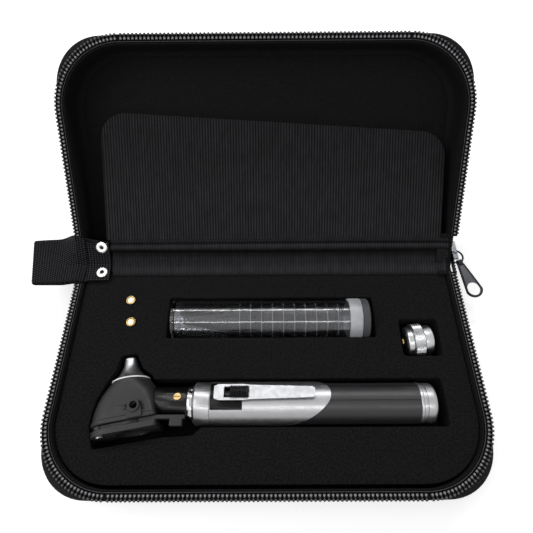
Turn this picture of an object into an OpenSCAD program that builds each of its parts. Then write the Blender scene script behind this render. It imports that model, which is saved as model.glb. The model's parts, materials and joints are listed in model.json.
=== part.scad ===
// Otoscope carry case with its kit, standing open as on a table.
// Units are mm. X runs along the hinge, Y points from the front edge to the hinge, Z is up.
// The origin is the centre of the flat underside of the base.
// The otoscope, specula tube, adapter and spare lamps lie in the pockets of the foam insert.

/* [Case] */
// Width over the zip teeth
case_w = 205; // [200:0.5:215]
// Depth of each half, from hinge line to zip teeth
case_d = 113; // [112:0.5:120]
// Height of each half, from its flat side to the plane where the halves meet
half_h = 20; // [19.5:0.1:24]
// How far the lid has turned up from lying flat behind the base
lid_rest_angle = 48; // [40:1:60]
// Wall thickness of the moulded shells
shell_t = 2; // [1.6:0.1:2.6]
// Plan radius of the outer corners of the shells
shell_corner_r = 24; // [20:1:28]
// Radius of the rounded bottom edge of the shells
shell_edge_r = 6; // [5:0.5:8]
// Thickness of the padded lining in the lid
lining_t = 1.2; // [0.8:0.1:1.6]

/* [Zip] */
// Length of a tooth, out from the tape
tooth_l = 2.4; // [2:0.1:2.6]
// Width of a tooth along the chain
tooth_w = 1; // [0.8:0.05:1.2]
// Distance between the teeth of one row
tooth_pitch = 1.85; // [1.7:0.05:2.2]
// Height of a row, so of half the closed chain
row_h = 1.7; // [1.5:0.1:2]
// Width of the tape that shows inside the teeth
tape_w = 1.5; // [1.2:0.1:2]
// Length of the slider along the chain
slider_l = 11; // [10:0.5:11.5]
// Outer diameter of the pull ring
ring_d = 8.8; // [8:0.1:9.4]
// Wire thickness of the pull ring
ring_wire = 1; // [0.8:0.1:1.2]
// Length of the teardrop puller, from its eye to its round end
puller_l = 21; // [19:0.5:22]
// Width of the puller at its round end
puller_w = 8.8; // [8:0.1:10]
// Thickness of the puller
puller_t = 1.2; // [1:0.1:1.5]

/* [Soft parts] */
// Thickness of the divider flap
flap_t = 1.5; // [1:0.1:2]
// Width of the divider flap
flap_w = 179; // [170:1:184]
// Height of the divider flap at its taller end
flap_h = 66.5; // [60:0.5:72]
// Height that the top edge of the flap loses towards its lower end
flap_drop = 10; // [6:0.5:14]
// How far the flap leans back into the lid
flap_lean = 10.5; // [8:0.5:12]
// Width of the webbing of the strap
strap_w = 24; // [20:1:26]
// Thickness of the webbing
strap_t = 1.5; // [1.2:0.1:1.6]
// How far the strap loop stands out from the case
strap_out = 29; // [24:1:36]

/* [Foam insert] */
// Top face of the foam above the table
foam_top = 17; // [16.5:0.1:18]
// Gap between foam and shell along the front
foam_front_gap = 3.2; // [2:0.1:4]

/* [Otoscope] */
// Diameter of the bright metal sleeve
sleeve_d = 20; // [19:0.1:20.4]
// Diameter of the black handle tube
handle_d = 18.6; // [18.2:0.1:18.8]
// Length of each of the two battery cells, which sets the length of the handle
cell_l = 50; // [49.5:0.1:50.5]
// Diameter of the neck between head and handle
neck_d = 15.5; // [14.5:0.1:16]
// Turn of the clip away from straight up, towards the hinge
clip_roll = 13; // [8:1:18]
// Length of the pocket clip
clip_l = 46; // [42:0.5:48]
// Travel of the slide switch
switch_travel = 2.4; // [2:0.1:2.5]
// Diameter of the open front ring of the head
head_ring_d = 18; // [17:0.1:18.6]
// Turn of the head towards the end of the handle, seen from above
head_turn = 10; // [6:1:12]
// Height of the head across the lens frame
head_h = 20.6; // [20:0.1:20.8]
// Length of the cone in front of the head
cone_l = 11.6; // [10:0.2:13]

/* [Specula tube] */
// Outer diameter of the clear tube
tube_d = 19.5; // [19:0.1:19.8]
// Length of the clear tube
tube_l = 97; // [96:0.5:98]
// Number of nested specula in the tube
specula_count = 10; // [4:1:10]
// Distance between the rims of nested specula
specula_pitch = 5.6; // [5.2:0.1:5.7]

/* [Adapter and lamps] */
// Diameter of the knurled band of the adapter
adapter_d = 17.4; // [16.5:0.1:17.8]
// Length of the adapter
adapter_l = 16.4; // [15:0.1:17]
// Diameter of the metal base of a spare lamp
lamp_d = 4.8; // [4.4:0.1:5]

/* [Hidden] */
$fn = 64;
// clearances between pieces that move against each other, and between pressed pieces
clear = 0.3;
press = 0.02;
hinge_gap = 0.3;
rim_z = half_h - row_h;
shell_hw = case_w/2 - 1.9;
shell_dd = case_d - 0.7;
inner_hw = shell_hw - shell_t;
inner_dd = shell_dd - shell_t - 1.1;
zip_r = shell_corner_r + 11;
inner_r = zip_r - tooth_l - tape_w;
zip_hw = case_w/2;
foam_hw = inner_hw - 0.2;
foam_front = inner_dd - foam_front_gap;
// slider, its bail, the ring and the puller
slider_x = shell_hw + clear;
slider_y = 1.5;
plate_t = 1.4;
web_x = zip_hw + clear;
slider_low = rim_z - 0.2 - plate_t;
slider_high = half_h + row_h + 0.2;
stop_y = slider_y + slider_l + 0.4;
wire_gap = 0.2;
ring_r = (ring_d - ring_wire)/2;
bail_y = slider_y + slider_l/2;
bail_x = slider_x + 0.4 + wire_gap + ring_wire/2;
ring_c = [bail_x + ring_r, bail_y, slider_low - ring_wire];
puller_turn = -71;
puller_droop = 8;
eye_r = ring_wire/2 + 0.4;
// where the rows of teeth start, measured from the hinge line: base left, base right, lid left, lid right
row_start = [12, 4, 17, stop_y + 2.2];
// where the flap is sewn to the lid strip
fold_s = 14;
fold_off = 1.5;
strip_t = 0.7;
strip_d = row_start[1] - 0.1;
// webbing and rivets at the left end of the hinge
root_x = shell_hw - 16.6;
root_t = 1;
rivet_x = root_x + 4.9;
rivet_h = 0.6;
strap_gap = 0.5;
// otoscope
pocket_floor = 1.2;
oto_y = -72;
oto_z = shell_t + pocket_floor + 0.4 + sleeve_d/2;
head_x = -63.8;
head_side = 12.2;
pivot = [-13.4, 5.4];
flange_y = -6.7;
flange_out = 0.3;
screw_d = 3.4;
screw_sink = 0.6;
collar_x = -33.7;
collar_l = 8.1;
ring_l = 2;
sleeve_x = collar_x - 0.7 + collar_l + 0.2;
sleeve_end = 29.5;
slant_turn = 34;
clip_x = collar_x + 9.8;
clip_top = sleeve_d/2 + 2.5;
window_x = clip_x + 4.6;
window_l = 11.5;
cell_d = 14.4;
bore_d = 15.2;
spring_l = 5.6;
handle_l = 2*(cell_l + 0.1) + spring_l - 0.4;
cap_x = collar_x + handle_l;
// specula tube
tube_x = -47;
tube_y = -29.2;
tube_wall = 1;
cap_r = tube_d/2 + 0.75;
tube_z = shell_t + 0.3 + 0.1 + cap_r;
// adapter and spare lamps
adapter_c = [foam_hw - 21, -40.4, shell_t + pocket_floor + 0.1 + adapter_d/2];
lamp_x = 27.8 - foam_hw;
lamp_y = [-19.3, -31.7];

// Frames. The drawing frame has its Y origin on the hinge line.

module on_base() {
    translate([0, case_d/2, 0])
        children();
}

// Children are drawn as if the lid lay flat behind the base.
module on_lid() {
    translate([0, case_d/2, half_h])
        rotate([lid_rest_angle, 0, 0])
            translate([0, 0, -half_h])
                children();
}

// Children are drawn flat in X and Y, with Y running up the flap from its fold.
module on_flap() {
    on_lid()
        translate([0, fold_s, half_h - fold_off])
            rotate([-flap_lean, 0, 0])
                children();
}

// Children are drawn about the handle axis along X, clip side up.
module on_handle() {
    on_base()
        translate([0, oto_y, oto_z])
            rotate([-clip_roll, 0, 0])
                children();
}

// Children are drawn about the axis of the head along Y, cone towards +Y.
module on_head() {
    on_base()
        translate([head_x, oto_y, oto_z])
            rotate(head_turn)
                children();
}

// Plan of one half: square at the hinge, round corners in front.
module half_plan(hw, dd, r) {
    translate([-hw, -dd + r])
        square([2*hw, dd - r]);
    translate([-hw + r, -dd])
        square([2*(hw - r), dd]);
    for (side = [-1, 1])
        translate([side*(hw - r), -dd + r])
            circle(r = r);
}

// Half section of a wall from its corner centre outwards, with rounded lower and upper edges.
module wall_section(r, h, low_r, top_r) {
    square([r - low_r, h - top_r]);
    translate([0, low_r])
        square([r, h - low_r - top_r]);
    translate([0, h - top_r - 0.01])
        square([r - top_r, top_r + 0.01]);
    translate([r - low_r, low_r])
        circle(r = low_r);
    translate([r - top_r, h - top_r])
        circle(r = top_r);
}

// Half section of a hollow, straight above its rounded lower edge.
module hollow_section(r, h, low_r) {
    square([r - low_r, h]);
    translate([0, low_r])
        square([r, h - low_r]);
    translate([r - low_r, low_r])
        circle(r = low_r);
}

// Sweeps the section given as child round the plan of one half and fills the middle.
module half_sweep(hw, dd, r, h) {
    for (side = [0, 1])
        mirror([side, 0, 0])
            translate([hw - r, -dd + r, 0])
                rotate(-90)
                    rotate_extrude(angle = 90)
                        children();
    translate([-(hw - r), -dd + r, 0])
        rotate([90, 0, 90])
            mirror([1, 0, 0])
                linear_extrude(2*(hw - r))
                    children();
    for (side = [0, 1])
        mirror([side, 0, 0])
            translate([hw - r, 0, 0])
                rotate([90, 0, 0])
                    linear_extrude(dd - r)
                        children();
    translate([-(hw - r), -dd + r, 0])
        cube([2*(hw - r), dd - r, h]);
}

// One shell, drawn for the base. The lid has the same shell mirrored across the hinge.
module half_shell() {
    back = hinge_gap + shell_t;
    difference() {
        translate([0, -hinge_gap, 0])
            half_sweep(shell_hw, shell_dd - hinge_gap, shell_corner_r, rim_z)
                wall_section(shell_corner_r, rim_z, shell_edge_r, 1.2);
        translate([0, -back, shell_t])
            half_sweep(inner_hw, inner_dd - back, inner_r, half_h)
                hollow_section(inner_r, half_h, 4);
    }
}

// One tooth, drawn outwards from its root on the tape: a slim neck and a wider head with cut corners.
module tooth() {
    neck = 0.35*tooth_w;
    head = tooth_w/2;
    linear_extrude(row_h)
        polygon([
            [0, -neck],
            [0.45*tooth_l, -neck],
            [0.6*tooth_l, -head],
            [0.88*tooth_l, -head],
            [tooth_l, -0.6*head],
            [tooth_l, 0.6*head],
            [0.88*tooth_l, head],
            [0.6*tooth_l, head],
            [0.45*tooth_l, neck],
            [0, neck]
        ]);
}

// One row of teeth on its tape, from the left end to the right end round the front.
module zip_row(left, right) {
    root = zip_hw - tooth_l;
    r = zip_r - tooth_l;
    side_run = case_d - zip_r;
    front_run = 2*(zip_hw - zip_r);
    n_front = floor(front_run/tooth_pitch);
    n_corner = floor(zip_r*PI/2/tooth_pitch);
    n_left = floor((side_run - left)/tooth_pitch);
    n_right = floor((side_run - right)/tooth_pitch);
    difference() {
        linear_extrude(row_h - 0.5)
            difference() {
                half_plan(root + 0.2, case_d - tooth_l + 0.2, r + 0.2);
                half_plan(root - tape_w, case_d - tooth_l - tape_w, r - tape_w);
            }
        translate([-zip_hw, -left, -1])
            cube([zip_hw, left + 1, row_h + 2]);
        translate([0, -right, -1])
            cube([zip_hw, right + 1, row_h + 2]);
    }
    for (i = [0:n_front])
        translate([(i - n_front/2)*tooth_pitch, -case_d + tooth_l, 0])
            rotate(-90)
                tooth();
    for (side = [-1, 1])
        for (i = [1:n_corner - 1])
            translate([side*(zip_hw - zip_r), -case_d + zip_r, 0])
                rotate(side > 0 ? -i*90/n_corner : 180 + i*90/n_corner)
                    translate([r, 0, 0])
                        tooth();
    for (i = [0:n_right])
        translate([root, -side_run + i*tooth_pitch, 0])
            tooth();
    for (i = [0:n_left])
        translate([-root, -side_run + i*tooth_pitch, 0])
            rotate(180)
                tooth();
}

// Case.

module base_shell() {
    color("#2a2a2c")
        on_base()
            half_shell();
}

module lid_shell() {
    color("#2a2a2c")
        on_lid()
            mirror([0, 1, 0])
                half_shell();
}

module lid_lining() {
    color("#141416")
        on_lid()
            mirror([0, 1, 0])
                translate([0, -shell_t - 4, shell_t])
                    linear_extrude(lining_t)
                        half_plan(inner_hw - 4.2, inner_dd - shell_t - 8.2, inner_r - 4.2);
}

module foam_insert() {
    back = hinge_gap + shell_t + 0.2;
    color("#1a1a1c")
        on_base()
            difference() {
                translate([0, -back, shell_t])
                    half_sweep(foam_hw, foam_front - back, inner_r, foam_top - shell_t)
                        wall_section(inner_r, foam_top - shell_t, 4.2, 0.6);
                handle_pocket();
                head_pocket();
                tube_pocket();
                adapter_pocket();
                for (y = lamp_y)
                    translate([lamp_x, y, 5])
                        cylinder(d = lamp_d + 0.4, h = 20);
            }
}

// Straight trough for the handle.
module handle_pocket() {
    half = sleeve_d/2 + 1;
    translate([-38, oto_y - half, shell_t + pocket_floor])
        cube([cap_x + 12 + 38, 2*half, 20]);
}

// Deeper recess that follows the head, its cone and the lever of the lens.
module head_pocket() {
    z0 = oto_z - head_h/2 - 0.4;
    tip = cone_l + 11.1 + 0.9;
    translate([0, 0, z0])
        linear_extrude(20) {
            translate([head_x, oto_y])
                rotate(head_turn)
                    polygon([
                        [-3.8, tip],
                        [3.8, tip],
                        [6.4, 15.6],
                        [10.6, 11.6],
                        [13, 4],
                        [13.3, -17.8],
                        [-19.6, -17.6],
                        [-19.6, -7],
                        [-17.8, -2],
                        [-15.6, 4],
                        [-10.6, 11.6],
                        [-6.4, 16.8]
                    ]);
            translate([head_x, oto_y])
                polygon([
                    [10, 11],
                    [34, 11],
                    [34, -11.6],
                    [30, -14.4],
                    [15.6, -15.6]
                ]);
        }
}

module tube_pocket() {
    half = cap_r + clear;
    translate([tube_x - 4.2, tube_y - half, shell_t + 0.3])
        cube([tube_l + 9.6, 2*half, 20]);
}

module adapter_pocket() {
    half = adapter_d/2 + 0.9;
    translate([adapter_c[0] - adapter_l/2 - 1.5, adapter_c[1] - half, shell_t + pocket_floor])
        cube([adapter_l + 3, 2*half, 20]);
}

module zip_row_base() {
    color("#303033")
        on_base()
            translate([0, 0, rim_z]) {
                zip_row(row_start[0], row_start[1]);
                zip_tail();
            }
}

// The end of the chain beyond the hinge, which the slider is parked on.
module zip_tail() {
    translate([slider_x, -row_start[1] - 0.6, 0])
        cube([zip_hw - slider_x, row_start[1] + 0.6 + stop_y + 1.4, row_h]);
    translate([zip_hw - tooth_l, -row_start[1] - 0.6, 0])
        cube([tooth_l, 1, row_h]);
}

module zip_bottom_stop() {
    color("#b9bbbd")
        on_base()
            translate([slider_x, stop_y, half_h])
                cube([zip_hw - slider_x, 1.4, 1.2]);
}

module zip_row_lid() {
    color("#303033")
        on_lid()
            mirror([0, 1, 0])
                translate([0, 0, rim_z])
                    zip_row(row_start[2], row_start[3]);
}

// The slider is a C round the chain. Its bail is on the outer face of the chain, below it here.
module zip_slider() {
    w = web_x + 0.8 - slider_x;
    color("#c9cbcc")
        on_base() {
            for (z = [slider_low, slider_high])
                translate([slider_x, slider_y, z])
                    linear_extrude(plate_t)
                        slider_plate(w);
            translate([web_x, slider_y + 2.4, slider_low])
                cube([0.8, slider_l - 4.8, slider_high - slider_low + plate_t]);
            translate([slider_x + 0.6, slider_y + 4, slider_high + plate_t])
                rib(w - 1, 1.2, 0.7);
            translate([slider_x, bail_y - 0.6, ring_c[2] - ring_wire/2 - wire_gap - 0.7])
                difference() {
                    cube([w, 1.2, slider_low - ring_c[2] + ring_wire/2 + wire_gap + 0.7]);
                    translate([0.4, -1, 0.7])
                        cube([ring_wire + 2*wire_gap, 4, 9]);
                }
        }
}

// Raised bar across a plate.
module rib(l, w, h) {
    translate([0, -w/2, 0])
        cube([l, w, h]);
}

// Plan of a slider plate: wide at both mouths, narrow at the waist.
module slider_plate(w) {
    difference() {
        square([w, slider_l]);
        translate([w + 4.4, slider_l/2])
            circle(r = 4.8);
    }
}

module pull_ring() {
    color("#55565a")
        on_base()
            translate(ring_c)
                rotate_extrude()
                    translate([ring_r, 0])
                        circle(d = ring_wire, $fn = 24);
}

// Puller, drawn along +X from its rolled eye, whose bore runs along Y.
module puller_shape() {
    eye_out = eye_r + 0.6;
    round_r = puller_w/2;
    reach = puller_l - round_r;
    neck_w = 1.6;
    rotate([90, 0, 0])
        translate([0, 0, -1.2])
            difference() {
                cylinder(r = eye_out, h = 2.4);
                translate([0, 0, -1])
                    cylinder(r = eye_r, h = 5);
            }
    translate([0, 0, -puller_t/2])
        linear_extrude(puller_t)
            difference() {
                union() {
                    translate([reach, 0])
                        circle(r = round_r);
                    polygon([
                        [eye_r + 0.2, -neck_w],
                        [eye_r + 0.2, neck_w],
                        [reach - 0.2*round_r, 0.96*round_r],
                        [reach - 0.2*round_r, -0.96*round_r]
                    ]);
                }
                translate([reach, 0])
                    circle(r = round_r - 1.4);
            }
}

module zip_puller() {
    color("#4a4b4f")
        on_base()
            translate(ring_c)
                rotate(puller_turn)
                    translate([ring_r, 0, 0])
                        rotate([0, puller_droop, 0])
                            puller_shape();
}

module hinge_strip_base() {
    color("#1f1f21")
        on_base()
            translate([-root_x + strap_gap, -strip_d, rim_z])
                cube([root_x - strap_gap + shell_hw - 0.6, strip_d, strip_t]);
}

module hinge_strip_lid() {
    color("#1f1f21")
        on_lid()
            translate([-root_x + strap_gap, 0, rim_z])
                cube([root_x - strap_gap + shell_hw - 0.6, fold_s - 0.9, strip_t]);
}

// Rounded leather tab over the end of the zip tape, at the right end of the hinge.
module tape_end_tab() {
    color("#19191b")
        on_lid()
            translate([shell_hw - 7.6, 6, rim_z + strip_t])
                linear_extrude(0.8) {
                    circle(r = 5);
                    translate([0, -5])
                        square([6.6, 10]);
                }
}

module divider_flap() {
    color("#3a3a3d")
        on_flap()
            translate([0, 0, -flap_t])
                linear_extrude(flap_t)
                    flap_plan();
}

// Outline of the flap: a panel with a sloping top edge and two round corners.
module flap_plan() {
    x0 = 4 - flap_w/2;
    x1 = 4 + flap_w/2;
    r = 13;
    y0 = flap_h - 1;
    y1 = flap_h - flap_drop - 1;
    polygon([
        [x0, 0],
        [x1, 0],
        [x1, y1 - r],
        [x1 - r, y1],
        [x0 + r, y0],
        [x0, y0 - r]
    ]);
    translate([x0 + r, y0 - r])
        circle(r = r);
    translate([x1 - r, y1 - r])
        circle(r = r);
}

// Webbing that is riveted to the base and loops out of the left end of the hinge.
module handle_strap() {
    edge = -shell_hw - strap_gap;
    color("#232325")
        on_base() {
            difference() {
                translate([0, 0, rim_z])
                    linear_extrude(root_t)
                        polygon([
                            [-root_x, -8.6],
                            [-root_x, -0.3],
                            [edge - 1, -0.3],
                            [edge - 1, -9.6],
                            [edge + 5, -9.2]
                        ]);
                rivet_hole(-4);
            }
            difference() {
                translate([0, 0, rim_z - strap_t + root_t])
                    linear_extrude(2*strap_t + 1.4)
                        loop_plan(edge);
                translate([edge - strap_out + strap_t, -40, rim_z + root_t])
                    cube([strap_out - strap_t - 4, 80, 1.4]);
            }
        }
}

// Plan of the loop, narrowed where it enters the case.
module loop_plan(edge) {
    polygon([
        [edge, -9.6],
        [edge, 13],
        [edge - strap_out + 9, 15.6],
        [edge - strap_out, 14.6],
        [edge - strap_out + 5, 14.6 - strap_w - 1.5],
        [edge - 5, 14.6 - strap_w - 1]
    ]);
}

module rivet_hole(y) {
    translate([-rivet_x, y, 0])
        cylinder(d = 2.6, h = half_h + 5);
}

// End of the webbing that is riveted to the lid side.
module strap_end_lid() {
    color("#232325")
        on_lid()
            difference() {
                translate([-shell_hw + 0.2, 0.4, rim_z])
                    cube([shell_hw - 0.2 - root_x, 13, root_t]);
                rivet_hole(9.8);
            }
}

// Tubular rivet with a rolled rim. Its shank goes down through the webbing.
module rivet() {
    difference() {
        union() {
            cylinder(r1 = 3.4, r2 = 2.9, h = rivet_h);
            translate([0, 0, -root_t])
                cylinder(d = 2.56, h = root_t + 0.1);
        }
        translate([0, 0, -5])
            cylinder(d = 1.9, h = 10);
    }
}

module strap_rivet_base() {
    color("#e4e4e2")
        on_base()
            translate([-rivet_x, -4, rim_z + root_t])
                rivet();
}

module strap_rivet_lid() {
    color("#e4e4e2")
        on_lid()
            translate([-rivet_x, 9.8, rim_z + root_t])
                rivet();
}

// Otoscope.

// Cross-section of the head. The left side is rounder than the flat right side.
module head_slice(y, x0, half, r_left, r_right) {
    translate([0, y, 0])
        rotate([90, 0, 0])
            linear_extrude(0.2)
                hull()
                    for (z = [-1, 1]) {
                        translate([x0 + r_left, z*(half - r_left)])
                            circle(r = r_left, $fn = 32);
                        translate([head_side - r_right, z*(half - r_right)])
                            circle(r = r_right, $fn = 32);
                    }
}

module head_housing() {
    h = head_h/2;
    color("#3b3b3d")
        on_head()
            difference() {
                union() {
                    hull() {
                        translate([0, 10.3, 0])
                            rotate([-90, 0, 0])
                                cylinder(d = head_ring_d, h = 0.2, $fn = 48);
                        head_slice(4.6, -13.6, h - 0.5, 8.4, 7);
                        head_slice(-1.4, -16.6, h - 0.2, 9, 4);
                        head_slice(-6.6, -17.8, h, 9, 2);
                    }
                    translate([0, flange_y, 0])
                        rotate([90, 0, 0])
                            linear_extrude(1.9)
                                frame_plan(h);
                }
                translate([0, -20, 0])
                    rotate([-90, 0, 0])
                        cylinder(d = 12, h = 27);
                translate([0, 6.9, 0])
                    rotate([-90, 0, 0])
                        cylinder(d1 = 12, d2 = 9, h = 4);
                translate([3.6, -3.4, 0])
                    cylinder(d = 2.4, h = 20);
            }
}

// Outline that the housing and the lens frame share, seen from behind.
module frame_plan(h) {
    left = -18.3;
    right = head_side + flange_out;
    translate([left + 9, -h])
        square([right - left - 10.5, 2*h]);
    translate([left, -h + 9])
        square([right - left, 2*h - 18]);
    translate([0, -h + 1.5])
        square([right, 2*h - 3]);
    for (z = [-1, 1]) {
        translate([left + 9, z*(h - 9)])
            circle(r = 9);
        translate([right - 1.5, z*(h - 1.5)])
            circle(r = 1.5);
    }
}

// Hollow flared cone that the specula push on to.
module head_cone() {
    steps = 10;
    wall = 0.7;
    tip_r = 2.7;
    base_r = head_ring_d/2 - 0.3;
    outer = [
        for (i = [0:steps])
            [tip_r + (base_r - tip_r)*pow(1 - i/steps, 2.1), i*cone_l/steps]
    ];
    inner = [
        for (i = [steps:-1:0])
            [tip_r - wall + (base_r - tip_r)*pow(1 - i/steps, 2.1), i*cone_l/steps]
    ];
    color("#8d8f92")
        on_head()
            translate([0, 11.1, 0])
                rotate([-90, 0, 0])
                    rotate_extrude()
                        polygon(concat(outer, inner));
}

module cone_ring() {
    color("#e8e8e6")
        on_head()
            translate([0, 10.5, 0])
                rotate([-90, 0, 0])
                    difference() {
                        cylinder(d = head_ring_d + 0.1, h = 0.6);
                        translate([0, 0, -1])
                            cylinder(d = 9, h = 3);
                    }
}

// Rear plate of the head. It stands off the housing so that the lens can swing between them.
module lens_frame() {
    color("#46464a")
        on_head()
            difference() {
                union() {
                    translate([0, -10.8, 0])
                        rotate([90, 0, 0])
                            linear_extrude(2.4)
                                frame_plan(head_h/2);
                    translate([pivot[0], -8.6, -pivot[1]])
                        rotate([90, 0, 0])
                            cylinder(r = 1.6, h = 2.4);
                }
                translate([0, -5, 0])
                    rotate([90, 0, 0])
                        cylinder(d = 15.5, h = 12);
                translate([pivot[0], -5, pivot[1]])
                    rotate([90, 0, 0])
                        cylinder(d = 2 + 2*press, h = 12);
            }
}

module lens_pivot() {
    color("#9a9b9d")
        on_head()
            translate([pivot[0], -8.6, pivot[1]])
                rotate([90, 0, 0]) {
                    cylinder(d = 2, h = 4.6);
                    translate([0, 0, 4.6])
                        cylinder(d = 3.6, h = 0.7);
                }
}

// Swinging lens holder with a lever that runs beside the neck.
module lens_carrier() {
    lever_z = 5.4;
    color("#3f3f42")
        on_head() {
            translate([0, -8.9, 0])
                rotate([90, 0, 0])
                    linear_extrude(1.6)
                        difference() {
                            union() {
                                circle(r = 9.2);
                                translate(pivot)
                                    circle(r = 2.6);
                                polygon([
                                    [pivot[0] - 2.2, pivot[1] - 1.4],
                                    [pivot[0] + 1.4, pivot[1] + 2.2],
                                    [-3.4, 8.5],
                                    [-8.6, -3]
                                ]);
                                translate([5, lever_z])
                                    square([8.8, 3.4]);
                            }
                            translate(pivot)
                                circle(d = 2 + 2*0.05);
                            circle(r = 7.5);
                        }
            translate([13.4, -8.9, lever_z])
                rotate(-head_turn) {
                    translate([0, -1.6, 0])
                        cube([12, 1.6, 3.4]);
                    translate([5.6, -4.6, 0])
                        cube([5.4, 3.1, 3.4]);
                }
        }
}

module viewing_lens() {
    color("#cfe3ee")
        on_head()
            translate([0, -9, 0])
                rotate([90, 0, 0])
                    cylinder(r = 7.5 - press, h = 1.4);
}

// Port for the rubber bulb, on its square foot.
module port_nipple() {
    h = head_h/2;
    color("#3b3b3d")
        on_head()
            difference() {
                union() {
                    translate([3.6, -3.4, h])
                        cylinder(d = 5.4, h = 2.3);
                    translate([0.4, -8.4, h])
                        cube([6.4, 4.6, 1.3]);
                }
                translate([3.6, -3.4, -1])
                    cylinder(d = 3.4, h = 30);
            }
}

// Turned neck. Its front end is cut along the flat side of the head and round the flange of the head.
module neck() {
    stop = collar_x - 0.7 - ring_l;
    color("#2b2b2d")
        difference() {
            on_handle()
                difference() {
                    translate([head_x, 0, 0])
                        rotate([0, 90, 0])
                            difference() {
                                cylinder(d = neck_d, h = stop - head_x);
                                translate([0, 0, -1])
                                    cylinder(d = 6, h = stop - head_x + 2);
                            }
                    translate([collar_x - 7.5, 0, neck_d/2 - screw_sink])
                        cylinder(d = screw_d + 2*press, h = 5);
                }
            on_head() {
                translate([head_side - 40, -20, -20])
                    cube(40);
                translate([head_side + flange_out - 40, flange_y - 40, -20])
                    cube(40);
            }
        }
}

module lamp() {
    start = head_x + head_side + 3.2;
    color("#dfe0dc")
        on_handle()
            translate([start, 0, 0])
                rotate([0, 90, 0]) {
                    translate([0, 0, 0.6])
                        sphere(d = 4);
                    translate([0, 0, 0.6])
                        cylinder(d = 4, h = 4);
                    translate([0, 0, 4.6])
                        cylinder(d = 5.4, h = 7);
                }
}

module neck_screw() {
    color("#c8a24a")
        on_handle()
            translate([collar_x - 7.5, 0, neck_d/2 - screw_sink])
                difference() {
                    cylinder(d = screw_d, h = screw_sink + 0.3);
                    translate([-2, -0.3, screw_sink - 0.1])
                        cube([4, 0.6, 1]);
                }
}

module chrome_ring() {
    color("#e6e7e8")
        on_handle()
            translate([collar_x - 0.7 - ring_l, 0, 0])
                rotate([0, 90, 0])
                    cylinder(d = neck_d + 1.6, h = ring_l);
}

module collar() {
    d = sleeve_d - 0.4;
    color("#b4b6b9")
        on_handle()
            translate([collar_x - 0.7, 0, 0])
                rotate([0, 90, 0])
                    difference() {
                        union() {
                            cylinder(d1 = d - 2.8, d2 = d, h = 1.2);
                            translate([0, 0, 1.2])
                                cylinder(d = d, h = collar_l - 1.2);
                        }
                        translate([0, 0, 0.4])
                            cylinder(d = bore_d, h = collar_l);
                        translate([0, 0, 1.5])
                            cylinder(d = handle_d + 2*press, h = collar_l);
                    }
}

module handle_tube() {
    start = collar_x + 0.8;
    color("#2f2f31")
        on_handle()
            difference() {
                translate([start, 0, 0])
                    rotate([0, 90, 0])
                        cylinder(d = handle_d, h = cap_x - start);
                translate([start - 1, 0, 0])
                    rotate([0, 90, 0])
                        cylinder(d = bore_d, h = cap_x - start + 2);
                for (a = [-99, -80, -16, 31, 80, 99, 180])
                    rotate([-a, 0, 0])
                        translate([sleeve_end - 22, -0.3, handle_d/2 - 0.5])
                            cube([handle_l, 0.6, 1]);
            }
}

// Bright sleeve with its oblique end and the cut-out for the switch.
module sleeve() {
    color("#c2c4c7")
        on_handle()
            difference() {
                translate([sleeve_x, 0, 0])
                    rotate([0, 90, 0])
                        cylinder(d = sleeve_d, h = sleeve_end - sleeve_x + 4);
                translate([sleeve_x - 1, 0, 0])
                    rotate([0, 90, 0])
                        cylinder(d = handle_d + 2*press, h = 90);
                rotate([clip_roll - slant_turn, 0, 0])
                    translate([sleeve_end, 0, sleeve_d/2])
                        rotate([0, 40, 0])
                            translate([0, -30, -60])
                                cube([60, 60, 90]);
                translate([sleeve_x - 1, -6.5, 0])
                    cube([16.2, 13, 20]);
            }
}

module switch_base() {
    color("#161618")
        on_handle()
            difference() {
                intersection() {
                    translate([sleeve_x + 0.2, -6.4, 0])
                        cube([14.8, 12.8, 20]);
                    translate([sleeve_x - 5, 0, 0])
                        rotate([0, 90, 0])
                            cylinder(d = sleeve_d + 0.8, h = 30);
                }
                translate([sleeve_x - 5, 0, 0])
                    rotate([0, 90, 0])
                        cylinder(d = handle_d + 2*press, h = 30);
            }
}

// Plan of the clip tongue: shoulders at the switch, long taper to the free end.
module clip_plan() {
    half = [[0, 3], [2, 3.9], [14, 3.9], [17, 3.5], [clip_l - 0.8, 2.7], [clip_l, 1.9]];
    n = len(half) - 1;
    polygon(concat(half, [for (i = [n:-1:0]) [half[i][0], -half[i][1]]]));
}

// Sprung clip: foot on the switch base, window for the switch, free end on the sleeve.
module pocket_clip() {
    color("#d6d8da")
        on_handle()
            difference() {
                union() {
                    translate([clip_x, 0, clip_top - 0.9])
                        linear_extrude(0.9)
                            clip_plan();
                    translate([clip_x, -2.6, sleeve_d/2 + 0.4])
                        cube([1, 5.2, 1.8]);
                    translate([clip_x + clip_l - 4, -2.2, sleeve_d/2 - 0.4])
                        cube([1.2, 4.4, 2.4]);
                }
                translate([window_x, -2.6, 0])
                    cube([window_l, 5.2, 30]);
                translate([-60, 0, 0])
                    rotate([0, 90, 0])
                        cylinder(d = sleeve_d, h = 120);
            }
}

// Ribbed button that slides in the window of the clip, towards the head.
module slide_switch() {
    start = window_x + switch_travel + 0.2;
    len = window_l - switch_travel - 0.4;
    color("#1b1b1d")
        on_handle() {
            translate([start, -2.3, sleeve_d/2 + 0.5])
                cube([len, 4.6, 2.5]);
            for (i = [0:4])
                translate([start + 0.4 + i*(len - 1.6)/4, -2.3, sleeve_d/2 + 3])
                    cube([0.8, 4.6, 0.6]);
        }
}

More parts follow.
